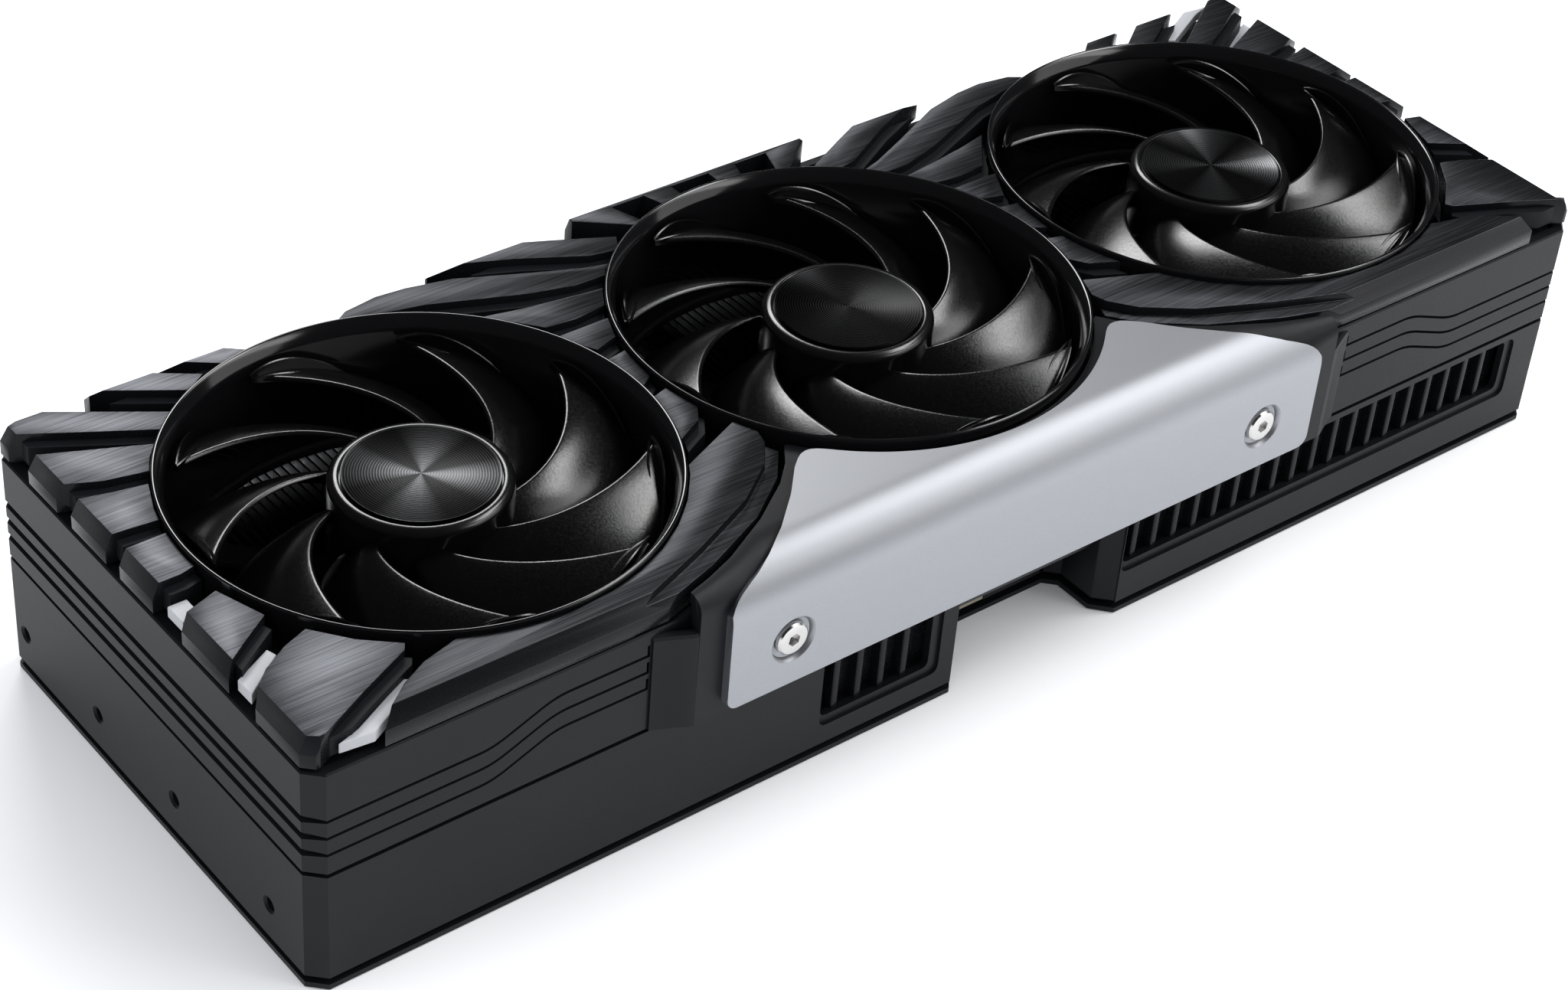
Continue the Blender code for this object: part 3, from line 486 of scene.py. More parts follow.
def gloss_ring():
    paint = Paint("gloss_ring", (0.003, 0.003, 0.0034))
    paint.rough(paint.noise(35.0, detail=3.0), 0.1, 0.18)
    paint.bump(paint.noise(250.0), 0.01, 0.25)
    paint.put("Coat Weight", 0.2)
    paint.put("Coat Roughness", 0.08)
    return paint.material


def fan_blades():
    """Moulded blades: black with a fine grain, and sparkle painted in as lighter flecks in the base
    colour.
    """
    paint = Paint("fan_blades", (0.0008, 0.0008, 0.0009), specular=0.6)
    paint.grain(2000.0, 0.14, 0.27, 0.035, 0.7, roughness=0.7)
    # painted glints: sparse flecks six times lighter than the black base stand in for the sparkle
    # of the highlight
    painted_glint_flecks = paint.ramp(paint.noise(4200.0, detail=1.0), 0.62, 0.7)
    paint.shade(painted_glint_flecks, 1.0, 6.0)
    return paint.material


def hub_gloss():
    paint = Paint("hub_gloss", (0.002, 0.002, 0.0022), specular=0.6)
    paint.grain(4200.0, 0.16, 0.26, 0.008, 0.3)
    paint.shade(paint.noise(400.0), 0.8, 1.3)
    return paint.material


def spun_cap(name, centre, tone, highlight_lobes, ripple):
    """Turned disc: fine rings, with painted highlight cones that stand on the centre."""
    paint = Paint(name, (tone, tone * 1.02, tone * 1.06), 1.0)
    offset = paint.add("VectorMath", paint.place, (centre[0] * MM, centre[1] * MM, 0.0))
    offset.operation = "SUBTRACT"
    x, y = paint.add("SeparateXYZ", offset.outputs["Vector"]).outputs[:2]
    squares = paint.maths("ADD", paint.maths("MULTIPLY", x, x), paint.maths("MULTIPLY", y, y))
    radius = paint.maths("SQRT", squares)
    turns = 2 * math.pi / (CAP_RING_PITCH * MM)
    rings = paint.maths("SINE", paint.maths("MULTIPLY", radius, turns))
    angle = paint.maths("ARCTAN2", y, x)
    turned = paint.maths("SUBTRACT", angle, math.radians(HIGHLIGHT_CONE_TURN))
    # painted highlights: the base colour is lighter in cones round the centre, mixed below with the
    # disc's real fine rings
    painted_highlight_cones = paint.ramp(paint.maths("COSINE", paint.maths("MULTIPLY", turned, highlight_lobes)), -0.5, 0.9)
    mixed = paint.maths("ADD", painted_highlight_cones, paint.maths("MULTIPLY", rings, ripple))
    paint.shade(mixed, 0.12, 1.8)
    paint.bump(rings, 0.01, 0.5)
    paint.link(paint.ramp(rings, -1.0, 1.0, 0.22, 0.34), paint.shader.inputs["Roughness"])
    flat = paint.add("CombineXYZ", x, y)
    world = paint.add("VectorTransform", flat.outputs["Vector"])
    world.vector_type = "VECTOR"
    world.convert_from = "OBJECT"
    world.convert_to = "WORLD"
    paint.link(world.outputs["Vector"], paint.shader.inputs["Tangent"])
    paint.put("Anisotropic", 0.6)
    return paint.material


def silver_blasted():
    """Bead-blasted and clear-anodised sheet."""
    paint = Paint("silver_blasted", (0.378, 0.388, 0.412), 1.0)
    grain = paint.grain(5200.0, 0.45, 0.52, 0.012, 0.5, detail=3.0)
    paint.shade(paint.ramp(grain, 0.3, 0.7), 0.93, 1.06)
    return paint.material


def polished_steel():
    paint = Paint("polished_steel", (0.62, 0.61, 0.6), 1.0)
    wear = paint.noise(900.0)
    paint.rough(wear, 0.14, 0.3)
    paint.shade(wear, 0.85, 1.08)
    paint.bump(paint.noise(2500.0), 0.006, 0.3)
    return paint.material


def sheet_steel():
    """Plated bracket steel with a faint rolled grain."""
    paint = Paint("sheet_steel", (0.56, 0.56, 0.57), 1.0)
    rolled = paint.grain(2200.0, 0.28, 0.42, 0.01, 0.4, stretch=(1.0, 0.05, 1.0), detail=3.0)
    paint.shade(rolled, 0.85, 1.1)
    return paint.material


def diffuser():
    """Milky light guide."""
    paint = Paint("diffuser", (0.36, 0.365, 0.38), specular=0.2)
    cloud = paint.noise(220.0)
    paint.shade(cloud, 0.95, 1.03)
    paint.rough(cloud, 0.3, 0.42)
    paint.bump(paint.noise(2500.0), 0.005, 0.3)
    paint.put("Subsurface Weight", 0.3)
    paint.put("Subsurface Scale", 0.002)
    paint.put("Subsurface Radius", (1.0, 1.0, 1.0))
    return paint.material


def fin_metal():
    paint = Paint("fin_metal", (0.05, 0.05, 0.053), 1.0)
    streak = paint.grain(900.0, 0.26, 0.42, 0.01, 0.4, stretch=(1.0, 1.0, 0.1), detail=3.0)
    paint.shade(streak, 0.7, 1.25)
    return paint.material


def copper():
    paint = Paint("copper", (0.70, 0.40, 0.26), 1.0)
    tarnish = paint.noise(140.0, detail=5.0)
    paint.shade(tarnish, 0.65, 1.08)
    paint.rough(tarnish, 0.22, 0.42)
    paint.bump(paint.noise(1800.0), 0.008, 0.4)
    return paint.material


def solder_mask():
    """Black mask on the faces, with the pale laminate showing on cut edges."""
    paint = Paint("solder_mask", (0.012, 0.014, 0.013))
    geometry = paint.add("NewGeometry")
    split = paint.add("SeparateXYZ", geometry.outputs["Normal"])
    upright = paint.maths("ABSOLUTE", split.outputs["Z"])
    edge = paint.maths("LESS_THAN", upright, 0.5)
    paint.mix(edge, paint.colour, (0.22, 0.20, 0.15))
    paint.grain(1500.0, 0.3, 0.45, 0.01, 0.4)
    return paint.material


def gold():
    paint = Paint("gold", (0.83, 0.62, 0.28), 1.0)
    rub = paint.grain(1200.0, 0.18, 0.34, 0.004, 0.3, stretch=(1.0, 0.1, 1.0))
    paint.shade(rub, 0.85, 1.05)
    return paint.material


def moulded_plastic():
    paint = Paint("moulded_plastic", (0.014, 0.014, 0.0145), specular=0.35)
    paint.grain(3000.0, 0.42, 0.58, 0.015, 0.5)
    paint.shade(paint.noise(120.0), 0.8, 1.25)
    return paint.material


SATIN = satin_plastic()
# one brushed metal in two tones: painted light on the left end's copy, painted shade on the copy
# for the rest of the trim
BRUSHED_PAINTED_LIT = brushed_trim("brushed_painted_lit", 0.104)
BRUSHED_PAINTED_SHADE = brushed_trim("brushed_painted_shade", 0.048)
TRIM_SIDE = dark_trim("trim_side", (0.0042, 0.0045, 0.0056), 0.14, 0.2, 0.32)
TRIM_BEVEL = dark_trim("trim_bevel", (0.0042, 0.0045, 0.0056), 0.32, 0.22, 0.3, cloudy=False)
TRIM_LEDGE = dark_trim("trim_ledge", (0.007, 0.0075, 0.009), 0.07, 0.4, 0.52)
GLOSS = gloss_ring()
BLADE = fan_blades()
HUB = hub_gloss()
SILVER = silver_blasted()
STEEL = polished_steel()
SHEET = sheet_steel()
MILKY = diffuser()
FIN = fin_metal()
COPPER = copper()
MASK = solder_mask()
GOLD = gold()
MOULDED = moulded_plastic()


# -------------------- shroud band

def groove_lift(x):
    """How far the grooves stand above their end level at a place along the card."""
    reach = abs(x)
    if reach >= LIFT_OUTER:
        return 0.0
    if reach <= LIFT_INNER:
        return GROOVE_LIFT
    span = LIFT_OUTER - LIFT_INNER
    run = LIFT_OUTER - reach
    if run < LIFT_EASE:
        climbed = run * run / (2 * LIFT_EASE)
    elif run < span - LIFT_EASE:
        climbed = run - LIFT_EASE / 2
    else:
        climbed = span - LIFT_EASE - (span - run) ** 2 / (2 * LIFT_EASE)
    return GROOVE_LIFT * climbed / (span - LIFT_EASE)


def band_profile(lift, open_half, depth):
    """Outer wall from bottom to top as (inset, height), with its three V grooves."""
    edge = 0.35
    low, high = SHROUD_LOW.z, SHROUD_HIGH.z
    points = [(edge, low), (0.0, low + edge)]
    for level in GROOVES:
        z = level + lift
        points += [(0.0, z - open_half * 0.6), (depth, z - open_half * 0.3),
                   (depth, z + open_half * 0.2), (0.0, z + open_half)]
    points += [(0.0, high - edge), (edge, high)]
    points += [(WALL, high), (WALL, low)]
    return points


def band_stations():
    """Places round the card: position, outward direction, groove lift, opening, depth."""
    x, y, c = HALF_LENGTH, HALF_WIDTH, CORNER
    thin, wide = 0.42, 1.0
    deep, lean = GROOVE_DEPTH, CORNER_LEAN
    stations = []
    near = [-x + c, -LIFT_OUTER - 2.0]
    steps = 20
    near += [-LIFT_OUTER + (LIFT_OUTER - LIFT_INNER) * index / steps for index in range(steps + 1)]
    near += [-LIFT_INNER + 2.0, -GROOVE_END, -GROOVE_END + 0.05]
    near += [-value for value in reversed(near)]
    for place in near:
        depth = deep if abs(place) >= GROOVE_END else 0.0
        outward = (lean * place / abs(place), -1.0) if abs(place) == x - c else (0.0, -1.0)
        stations.append(((place, -y), outward, groove_lift(place), thin, depth))
    stations.append(((x, -y + c), (1.0, -lean), 0.0, wide, deep))
    stations.append(((x, y - c), (1.0, lean), 0.0, wide, deep))
    stations.append(((x - c, y), (lean, 1.0), 0.0, thin, deep))
    for place, depth in ((100.0, deep), (99.9, 0.0), (-99.9, 0.0), (-100.0, deep)):
        stations.append(((place, y), (0.0, 1.0), 0.0, thin, depth))
    stations.append(((-x + c, y), (-lean, 1.0), 0.0, thin, deep))
    stations.append(((-x, y - c), (-1.0, lean), 0.0, wide, deep))
    stations.append(((-x, -y + c), (-1.0, -lean), 0.0, wide, deep))
    return stations


def make_band():
    """The shroud's wall, with slits where its front grooves step down, and its floor."""
    bm = bmesh.new()
    sections = []
    for (px, py), (nx, ny), lift, open_half, depth in band_stations():
        sections.append([(px - nx * inset, py - ny * inset, z)
                         for inset, z in band_profile(lift, open_half, depth)])
    add_strip(bm, sections, closed_path=True)
    steps = bmesh.new()
    for level in GROOVES:
        z = level + GROOVE_LIFT
        for side in (-1, 1):
            middle = side * GROOVE_END
            slit = box_outline(middle - 0.3, z - 0.2, middle + 0.3, z + STEP_HEIGHT)
            add_prism(steps, slit, -HALF_WIDTH - 1.0, -HALF_WIDTH + 0.8, "Y")
    bm = combine(bm, steps)
    piece("shroud_band", bm, SATIN, ("fan_shroud",), angle=20)
    floor = prism(body_outline(WALL + 0.05), SHROUD_HIGH.z - 2.8, SHROUD_HIGH.z - 0.4)
    floor = clear_rings(floor, 40.0, 60.0)
    piece("shroud_floor", floor, SATIN, ("fan_shroud",), angle=20)


# -------------------- lower frame

def end_screw_holes():
    """Four holes with a shallow chamfer, that run along X into the left end face."""
    holes = bmesh.new()
    face = -HALF_LENGTH
    profile = [(0.0, face - 1.0), (1.95, face - 1.0), (1.95, face + 0.05),
               (1.5, face + 0.5), (1.5, face + 4.0), (0.0, face + 4.0)]
    for y in (-42.0, -8.0, 21.0, 50.0):
        before = len(holes.verts)
        add_lathe(holes, profile, (y, 10.9), 28)
        holes.verts.ensure_lookup_table()
        for vertex in holes.verts[before:]:
            vertex.co = (vertex.co.z, vertex.co.x, vertex.co.y)
    return holes


def make_lower_frame():
    """The wall below the parting line, cut for windows, notch, grilles, bracket and screws."""
    low, high = FRAME_LOW.z, FRAME_HIGH.z
    near = -HALF_WIDTH
    wall = prism(body_outline(), low, high)
    wall = combine(wall, prism(body_outline(WALL), low - 1.0, high + 1.0))
    recess = bmesh.new()
    opening = bmesh.new()
    for left, right, bottom, top in (RIGHT_WINDOW, LEFT_WINDOW):
        outer = rounded(box_outline(left - 0.6, bottom - 2.0, right + 2.3, top + 0.6), 2.2)
        add_prism(recess, outer, near - 1.0, near + 0.7, "Y")
        inner = rounded(box_outline(left, bottom, right, top), 1.8)
        add_prism(opening, inner, near - 1.0, near + WALL + 1.0, "Y")
    wall = combine(wall, recess)
    wall = combine(wall, opening)
    notch = box_outline(NOTCH_LEFT, near - 1.0, NOTCH_RIGHT, near + WALL + 1.0)
    wall = combine(wall, prism(notch, low - 1.0, high - 3.0))
    far = HALF_WIDTH - WALL - 1.0
    tongue = box_outline(30.0, far, 125.0, far + 5.0)
    wall = combine(wall, prism(tongue, low - 1.0, 9.0))
    grilles = bmesh.new()
    for left, right in ((-150.0, -90.0), (-80.0, -20.0), (-10.0, 60.0), (70.0, 145.0)):
        add_prism(grilles, rounded(box_outline(left, 13.0, right, 24.0), 2.0), far, far + 5.0, "Y")
    wall = combine(wall, grilles)
    end = box_outline(HALF_LENGTH - WALL - 1.0, -46.0, HALF_LENGTH + 1.0, 50.0)
    wall = combine(wall, prism(end, low - 1.0, high - 3.0))
    wall = combine(wall, end_screw_holes(), solver="MANIFOLD")
    piece("frame_wall", wall, SATIN, ("lower_frame",), bevel=0.25, angle=35)


def make_parting_lip():
    """A thin lip behind the parting line, so that no light shows through it."""
    middle = FRAME_HIGH.z
    near = -HALF_WIDTH
    lip = prism(body_outline(WALL + 0.02), middle - 1.5, middle + 1.5)
    lip = combine(lip, prism(body_outline(WALL + 0.8), middle - 2.0, middle + 2.0))
    gap = box_outline(NOTCH_LEFT - 0.5, near - 1.0, NOTCH_RIGHT + 0.5, near + WALL + 2.0)
    lip = combine(lip, prism(gap, middle - 2.0, middle + 2.0))
    piece("parting_lip", lip, SATIN, ("lower_frame",), angle=20)


def add_rib(bm, x, low, high):
    """An upright rib with a round nose, set back from the wall's face."""
    nose = -HALF_WIDTH + 1.5
    half = RIB_WIDTH / 2
    corner = 0.35
    outline = [(x + half, nose + 4.0), (x - half, nose + 4.0)]
    outline += arc((x - half + corner, nose + corner), corner, 180, 270, 4)
    outline += arc((x + half - corner, nose + corner), corner, 270, 360, 4)
    add_prism(bm, outline, low, high)


def make_ribs():
    """The windows' ribs, the bars that carry them, and a dark sheet behind that stands in for the
    shade inside the card.
    """
    bm = bmesh.new()
    for (left, right, low, high), first in ((RIGHT_WINDOW, 37.6), (LEFT_WINDOW, -44.0)):
        x = first
        while x + RIB_WIDTH < right:
            add_rib(bm, x, low - 0.8, high + 0.8)
            x += RIB_PITCH
        back = -HALF_WIDTH + WALL + 0.1
        frame_bar = box_outline(left - 1.0, back, right + 1.0, back + 3.4)
        add_prism(bm, frame_bar, low - 1.6, low - 0.2)
        add_prism(bm, frame_bar, high + 0.2, high + 1.6)
        # painted shade: a dark sheet in front of the fins stands in for the shade inside the card
        shade_screen = -FIN_REACH - 2.0
        plan = box_outline(left - 2.0, shade_screen, right + 2.0, shade_screen + 0.8)
        add_prism(bm, plan, low - 4.0, high + 1.8)
    piece("vent_ribs", bm, TRIM_SIDE, ("lower_frame",), angle=35)


# -------------------- deck trim

TRIM_NODES = ("left_end_trim", "right_end_trim", "left_centre_trim", "right_centre_trim",
              "left_front_panel", "right_front_panel", "far_bridge")
# upward share of a face's normal: on level tops, and on the slopes round them
LEVEL = 0.98
STEEPEST_SLOPE = 0.25


def paint_trim(obj, slope):
    """The piece's own metal on level tops, a given material on slopes, and dark flanks."""
    obj.data.materials.append(TRIM_SIDE)
    obj.data.materials.append(slope)
    for polygon in obj.data.polygons:
        if polygon.normal.z > LEVEL:
            polygon.material_index = 0
        elif polygon.normal.z > STEEPEST_SLOPE:
            polygon.material_index = 2
        else:
            polygon.material_index = 1


def block_tops(bm):
    """Outlines of a trim node's raised tops."""
    level = max(vertex.co.z for vertex in bm.verts)
    tops = []
    for face in bm.faces:
        if face.normal.z > LEVEL and face.calc_center_median().z > level - 0.05:
            tops.append([(loop.vert.co.x, loop.vert.co.y) for loop in face.loops])
    return tops


def make_ledges(node, tops):
    """A lower step along the near side of each raised block."""
    ledges = bmesh.new()
    for top in tops:
        moved = [(x, y - LEDGE_SHIFT) for x, y in top]
        add_prism(ledges, moved, TRIM_LOW.z + 1.0, LEDGE_TOP)
    bmesh.ops.recalc_face_normals(ledges, faces=ledges.faces)
    inside = prism(body_outline(LEDGE_INSET), TRIM_LOW.z, TRIM_HIGH.z)
    ledges = combine(ledges, inside, "INTERSECT")
    ledges = clear_rings(ledges, 50.0, 62.0)
    piece(node + "_ledges", ledges, TRIM_LEDGE, (node,), bevel=0.2, angle=40)


def make_trim():
    for node in TRIM_NODES:
        shape = copy_of(node)
        bmesh.ops.recalc_face_normals(shape, faces=shape.faces)
        tops = block_tops(shape)
        # the left end trim gets the brushed copy with painted light, the rest the copy with painted
        # shade
        metal, slope = BRUSHED_PAINTED_SHADE, TRIM_BEVEL
        if node == "left_end_trim":
            metal, slope = BRUSHED_PAINTED_LIT, TRIM_LEDGE
        obj = piece("fine_" + node, shape, metal, (node,), bevel=0.16, angle=24)
        paint_trim(obj, slope)
        if node.endswith("_trim"):
            make_ledges(node, tops)


# -------------------- bezel, plate, screws

def bezel_front(x):
    """Front face of the bezel: flat posts, then a flank of shallow facets."""
    points = [(0.0, BEZEL_LOW.y), (POST_END, BEZEL_LOW.y), (85.6, -60.9), (88.6, -59.4),
              (91.2, -58.2), (BEZEL_HIGH.x, FLANK_END)]
    return along(points, abs(x))


def bezel_back(x):
    """Where the bezel's deck strip begins: the ring's arc, then the side panels' edge."""
    points = [(41.5, -31.0), (45.0, -35.8), (50.0, -40.5), (60.0, -47.2), (72.0, -53.4),
              (79.0, -56.0), (POST_END, -57.6)]
    reach = abs(x)
    if reach <= points[0][0]:
        return fan_centre(2)[1] - math.sqrt(BEZEL_ARC ** 2 - reach ** 2)
    return along(points, reach)


def bezel_line(x, inward):
    """Section of the bezel's skin at a place along the card, as (y, z) from deck to foot."""
    front, back = bezel_front(x), bezel_back(x)
    foot = BEZEL_LOW.z
    if abs(x) > POST_END:
        head = FLANK_TOP - inward
        face = front + inward
        points = [(front + 1.6, head), (face + 0.9, head), (face + 0.25, head - 0.3)]
        steps = 11
        return points + [(face, head - 1.0 + (foot - head + 1.0) * index / steps)
                         for index in range(steps + 1)]
    radius = min(BEZEL_BEND, back - front - 0.2)
    centre_y, centre_z = front + radius, BEZEL_HIGH.z - radius
    points = [(back, BEZEL_HIGH.z - inward)]
    for y, z in arc((centre_y, centre_z), radius - inward, 90, 180, 11):
        points.append((min(back, y), z))
    return points + [(front + inward, (foot + centre_z) / 2), (front + inward, foot)]


def bezel_columns():
    """Places across the bezel: even along the ring's arc, then set for each bend."""
    columns = [index * 1.5 for index in range(28)]
    columns += [41.6, 43.0, 45.0, 47.5, 50.0, 53.0, 56.0, 60.0, 64.0, 68.0, 72.0, 75.0, 77.0,
                79.0, 81.0, 82.5, 83.6, 84.2, POST_END, POST_END + 0.1, 85.6, 87.0, 88.6, 90.0,
                91.2, BEZEL_HIGH.x - 0.05]
    return [-x for x in reversed(columns[1:])] + columns


def make_bezel():
    bm = bmesh.new()
    layers = []
    for inward in (0.0, BEZEL_THICKNESS):
        layers.append([[bm.verts.new((x, y, z)) for y, z in bezel_line(x, inward)]
                       for x in bezel_columns()])
    add_shell(bm, *layers)
    piece("fine_bezel", bm, SATIN, ("bezel",), angle=14)


def plate_point(distance, inward):
    """Point of the bent plate at a distance along its line from Y = 0, as (y, z)."""
    bend_y = PLATE_LOW.y + PLATE_BEND
    bend_z = PLATE_HIGH.z - PLATE_BEND
    flat = -bend_y
    turn = PLATE_BEND * math.pi / 2
    if distance <= flat:
        return (-distance, PLATE_HIGH.z - inward)
    if distance <= flat + turn:
        angle = math.pi / 2 + (distance - flat) / PLATE_BEND
        reach = PLATE_BEND - inward
        return (bend_y + reach * math.cos(angle), bend_z + reach * math.sin(angle))
    return (PLATE_LOW.y + inward, bend_z - (distance - flat - turn))


def plate_start(x):
    """Where the plate begins along its line: ring arc, shoulder, then a swept flank."""
    reach = abs(x)
    if reach <= PLATE_ARC_END:
        return -fan_centre(2)[1] + math.sqrt(PLATE_ARC ** 2 - reach ** 2)
    points = [(PLATE_ARC_END, 38.95), (38.5, 37.7), (40.0, 37.0), (41.5, 36.9), (43.0, 37.4),
              (46.0, 39.8), (52.0, 46.2), (60.0, 53.3), (66.0, 57.6), (70.0, 60.0), (73.0, 61.5),
              (75.0, 62.6), (76.5, 63.7), (77.5, 64.8), (PLATE_HIGH.x, 66.2)]
    return along(points, reach)


def plate_columns():
    """Places across the plate, closer together towards its rounded ends."""
    straight = PLATE_HIGH.x - PLATE_CORNER
    step = 1.25
    columns = [index * step for index in range(int(straight / step) + 1)]
    columns += [straight + PLATE_CORNER * math.sin(math.radians(90 * index / 7))
                for index in range(8)]
    return [-x for x in reversed(columns[1:])] + columns


def screw_places():
    """The plate screws' nodes, with the lowest corner and the centre in X and Z of each."""
    for node in ("left_plate_screw", "right_plate_screw"):
        low, high = node_box(node)
        yield node, low, ((low.x + high.x) / 2, (low.z + high.z) / 2)


def make_plate():
    """The bent plate, with softened rims and a dish for each screw."""
    straight = -(PLATE_LOW.y + PLATE_BEND) + PLATE_BEND * math.pi / 2
    length = straight + (PLATE_HIGH.z - PLATE_BEND - PLATE_LOW.z)
    rows = 44
    bm = bmesh.new()
    layers = []
    for inward in (0.0, PLATE_THICKNESS):
        grid = []
        for x in plate_columns():
            over = max(0.0, abs(x) - (PLATE_HIGH.x - PLATE_CORNER))
            end = length - (PLATE_CORNER - math.sqrt(max(0.0, PLATE_CORNER ** 2 - over ** 2)))
            start = plate_start(x)
            column = []
            for row in range(rows + 1):
                y, z = plate_point(start + (end - start) * row / rows, inward)
                column.append(bm.verts.new((x, y, z)))
            grid.append(column)
        layers.append(grid)
    add_shell(bm, *layers)
    rims = [edge for edge in bm.edges
            if len(edge.link_faces) == 2 and edge.calc_face_angle(0) > 0.9]
    bmesh.ops.bevel(bm, geom=rims, offset=0.45, segments=3, profile=0.5, affect="EDGES",
                    clamp_overlap=True)
    front = PLATE_LOW.y
    dish = [(0.0, front - 1.0), (5.35, front - 1.0), (5.35, front), (5.0, front + 0.3),
            (4.7, front + 1.25), (4.45, front + 1.4), (2.6, front + 1.4), (2.6, front + 4.0),
            (0.0, front + 4.0)]
    for _, _, centre in screw_places():
        bm = combine(bm, lathe(dish, centre, 64, "Y"))
    piece("fine_silver_plate", bm, SILVER, ("silver_plate",), angle=38)


def make_plate_screws():
    """Socket screws: a chamfered head with a hexagon recess, seated in each dish."""
    front = PLATE_LOW.y
    for node, low, centre in screw_places():
        top = low.y
        head = [(0.0, top), (2.7, top), (3.25, top + 0.12), (3.6, top + 0.5),
                (3.6, front + 1.2), (3.4, front + 1.35), (2.2, front + 1.35),
                (2.2, front + 3.0), (0.0, front + 3.0)]
        screw = lathe(head, centre, 64, "Y")
        socket = prism(arc(centre, 1.45, 15, 315, 5), top - 1.0, top + 1.1, "Y")
        screw = combine(screw, socket)
        piece("fine_" + node, screw, STEEL, (node,), angle=30)


# -------------------- fans

def make_ring(number):
    """A gloss ring whose rim is round outside and slopes down inside."""
    node = f"fan_ring_{number}"
    low, high = node_box(node)
    outer = (high.x - low.x) / 2
    inner = outer - RING_WALL
    top, bottom = high.z, low.z
    profile = [(inner, bottom + 0.4), (inner + 0.4, bottom), (outer - 0.3, bottom),
               (outer, bottom + 0.3), (outer, top - 1.1)]
    profile += arc((outer - 0.4, top - 0.4), 0.4, 10, 90, 6)
    profile += [(outer - 0.7, top - 0.05), (outer - 1.0, top - 0.3), (inner + 0.4, top - 2.0),
                (inner + 0.1, top - 2.6), (inner, top - 3.4)]
    piece("fine_" + node, lathe(profile, fan_centre(number), 192), GLOSS,
          (node,), angle=50)


def blade_edge(fraction):
    """Leading edge: angle in degrees from the blade's phase, and height."""
    angle = 66.9 * fraction - 12.6 * fraction ** 2
    height = 54.2 + 5.7 * fraction - 2.7 * fraction ** 2
    return angle, height


def blade_drop(back):
    """Fall from the leading edge, slow at first and steeper towards the trailing edge."""
    return BLADE_DROP * (0.35 * back + 0.65 * back ** 2)


def blade_point(centre, phase, fraction, back, sink):
    """Point of a blade: fraction from root to tip, back from leading to trailing edge."""
    radius = BLADE_ROOT + (BLADE_TIP - BLADE_ROOT) * fraction
    lead, top = blade_edge(fraction)
    angle = math.radians(phase + lead - BLADE_CHORD * back)
    height = top - blade_drop(back) - sink
    return (centre[0] + radius * math.cos(angle), centre[1] + radius * math.sin(angle), height)


def lip_sink(radius, back):
    """The rolled leading edge: how far its rim turns down."""
    run = math.radians(BLADE_CHORD) * radius * back
    return 0.6 * max(0.0, 1 - run / LIP_WIDTH) ** 2


def add_blade(bm, centre, phase):
    """A swept blade with a rolled leading edge and a thin trailing edge."""
    radial, chordal = 30, 24
    layers = []
    for below in (0.0, 1.0):
        grid = []
        for i in range(radial + 1):
            row = []
            radius = BLADE_ROOT + (BLADE_TIP - BLADE_ROOT) * i / radial
            for j in range(chordal + 1):
                back = (j / chordal) ** 1.8
                body = math.sqrt(max(0.0, 1 - (2 * back - 1) ** 2)) ** 0.6
                thick = BLADE_RIM + (BLADE_THICKNESS - BLADE_RIM) * body
                lead = LIP_HEIGHT * (back < 0.02)
                sink = lip_sink(radius, back) * (1 - below) + below * max(thick, lead)
                row.append(bm.verts.new(blade_point(centre, phase, i / radial, back, sink)))
            grid.append(row)
        layers.append(grid)
    add_shell(bm, *layers)


def add_winglet(bm, centre, phase, inset, height, span):
    """A leaf-shaped fence with a beaded rim that rises along the blade's tip."""
    steps = 28
    sections = []
    for step in range(steps + 1):
        t = step / steps
        lead, top = blade_edge(1.0)
        back = t * span
        angle = math.radians(phase + lead - BLADE_CHORD * back)
        floor = top - blade_drop(back)
        swell = math.sin(math.pi * min(1.0, 0.03 + 0.97 * t)) ** 0.7
        ridge = min(floor + 0.15 + height * swell * (1 - 0.35 * t), 60.4)
        middle = BLADE_TIP - 0.45 - inset * math.sin(math.pi * t) ** 0.8
        section = [(middle + 0.3, floor - 0.9), (middle + 0.25, ridge - 0.55)]
        section += arc((middle, ridge - 0.3), 0.3, -30, 210, 4)
        section += [(middle - 0.25, ridge - 0.55), (middle - 0.35, floor - 0.9)]
        sections.append([(centre[0] + r * math.cos(angle), centre[1] + r * math.sin(angle), z)
                         for r, z in section])
    add_strip(bm, sections)


def make_blades(number):
    bm = bmesh.new()
    centre = fan_centre(number)
    for index in range(BLADES):
        phase = FAN_PHASES[number] + 360 / BLADES * index
        add_blade(bm, centre, phase)
        add_winglet(bm, centre, phase, 0.0, 3.2, 0.72)
        add_winglet(bm, centre, phase, 2.6, 1.0, 0.62)
    piece(f"fine_fan_blades_{number}", bm, BLADE, (f"fan_rotor_{number}",),
          f"fan_{number}", angle=50)


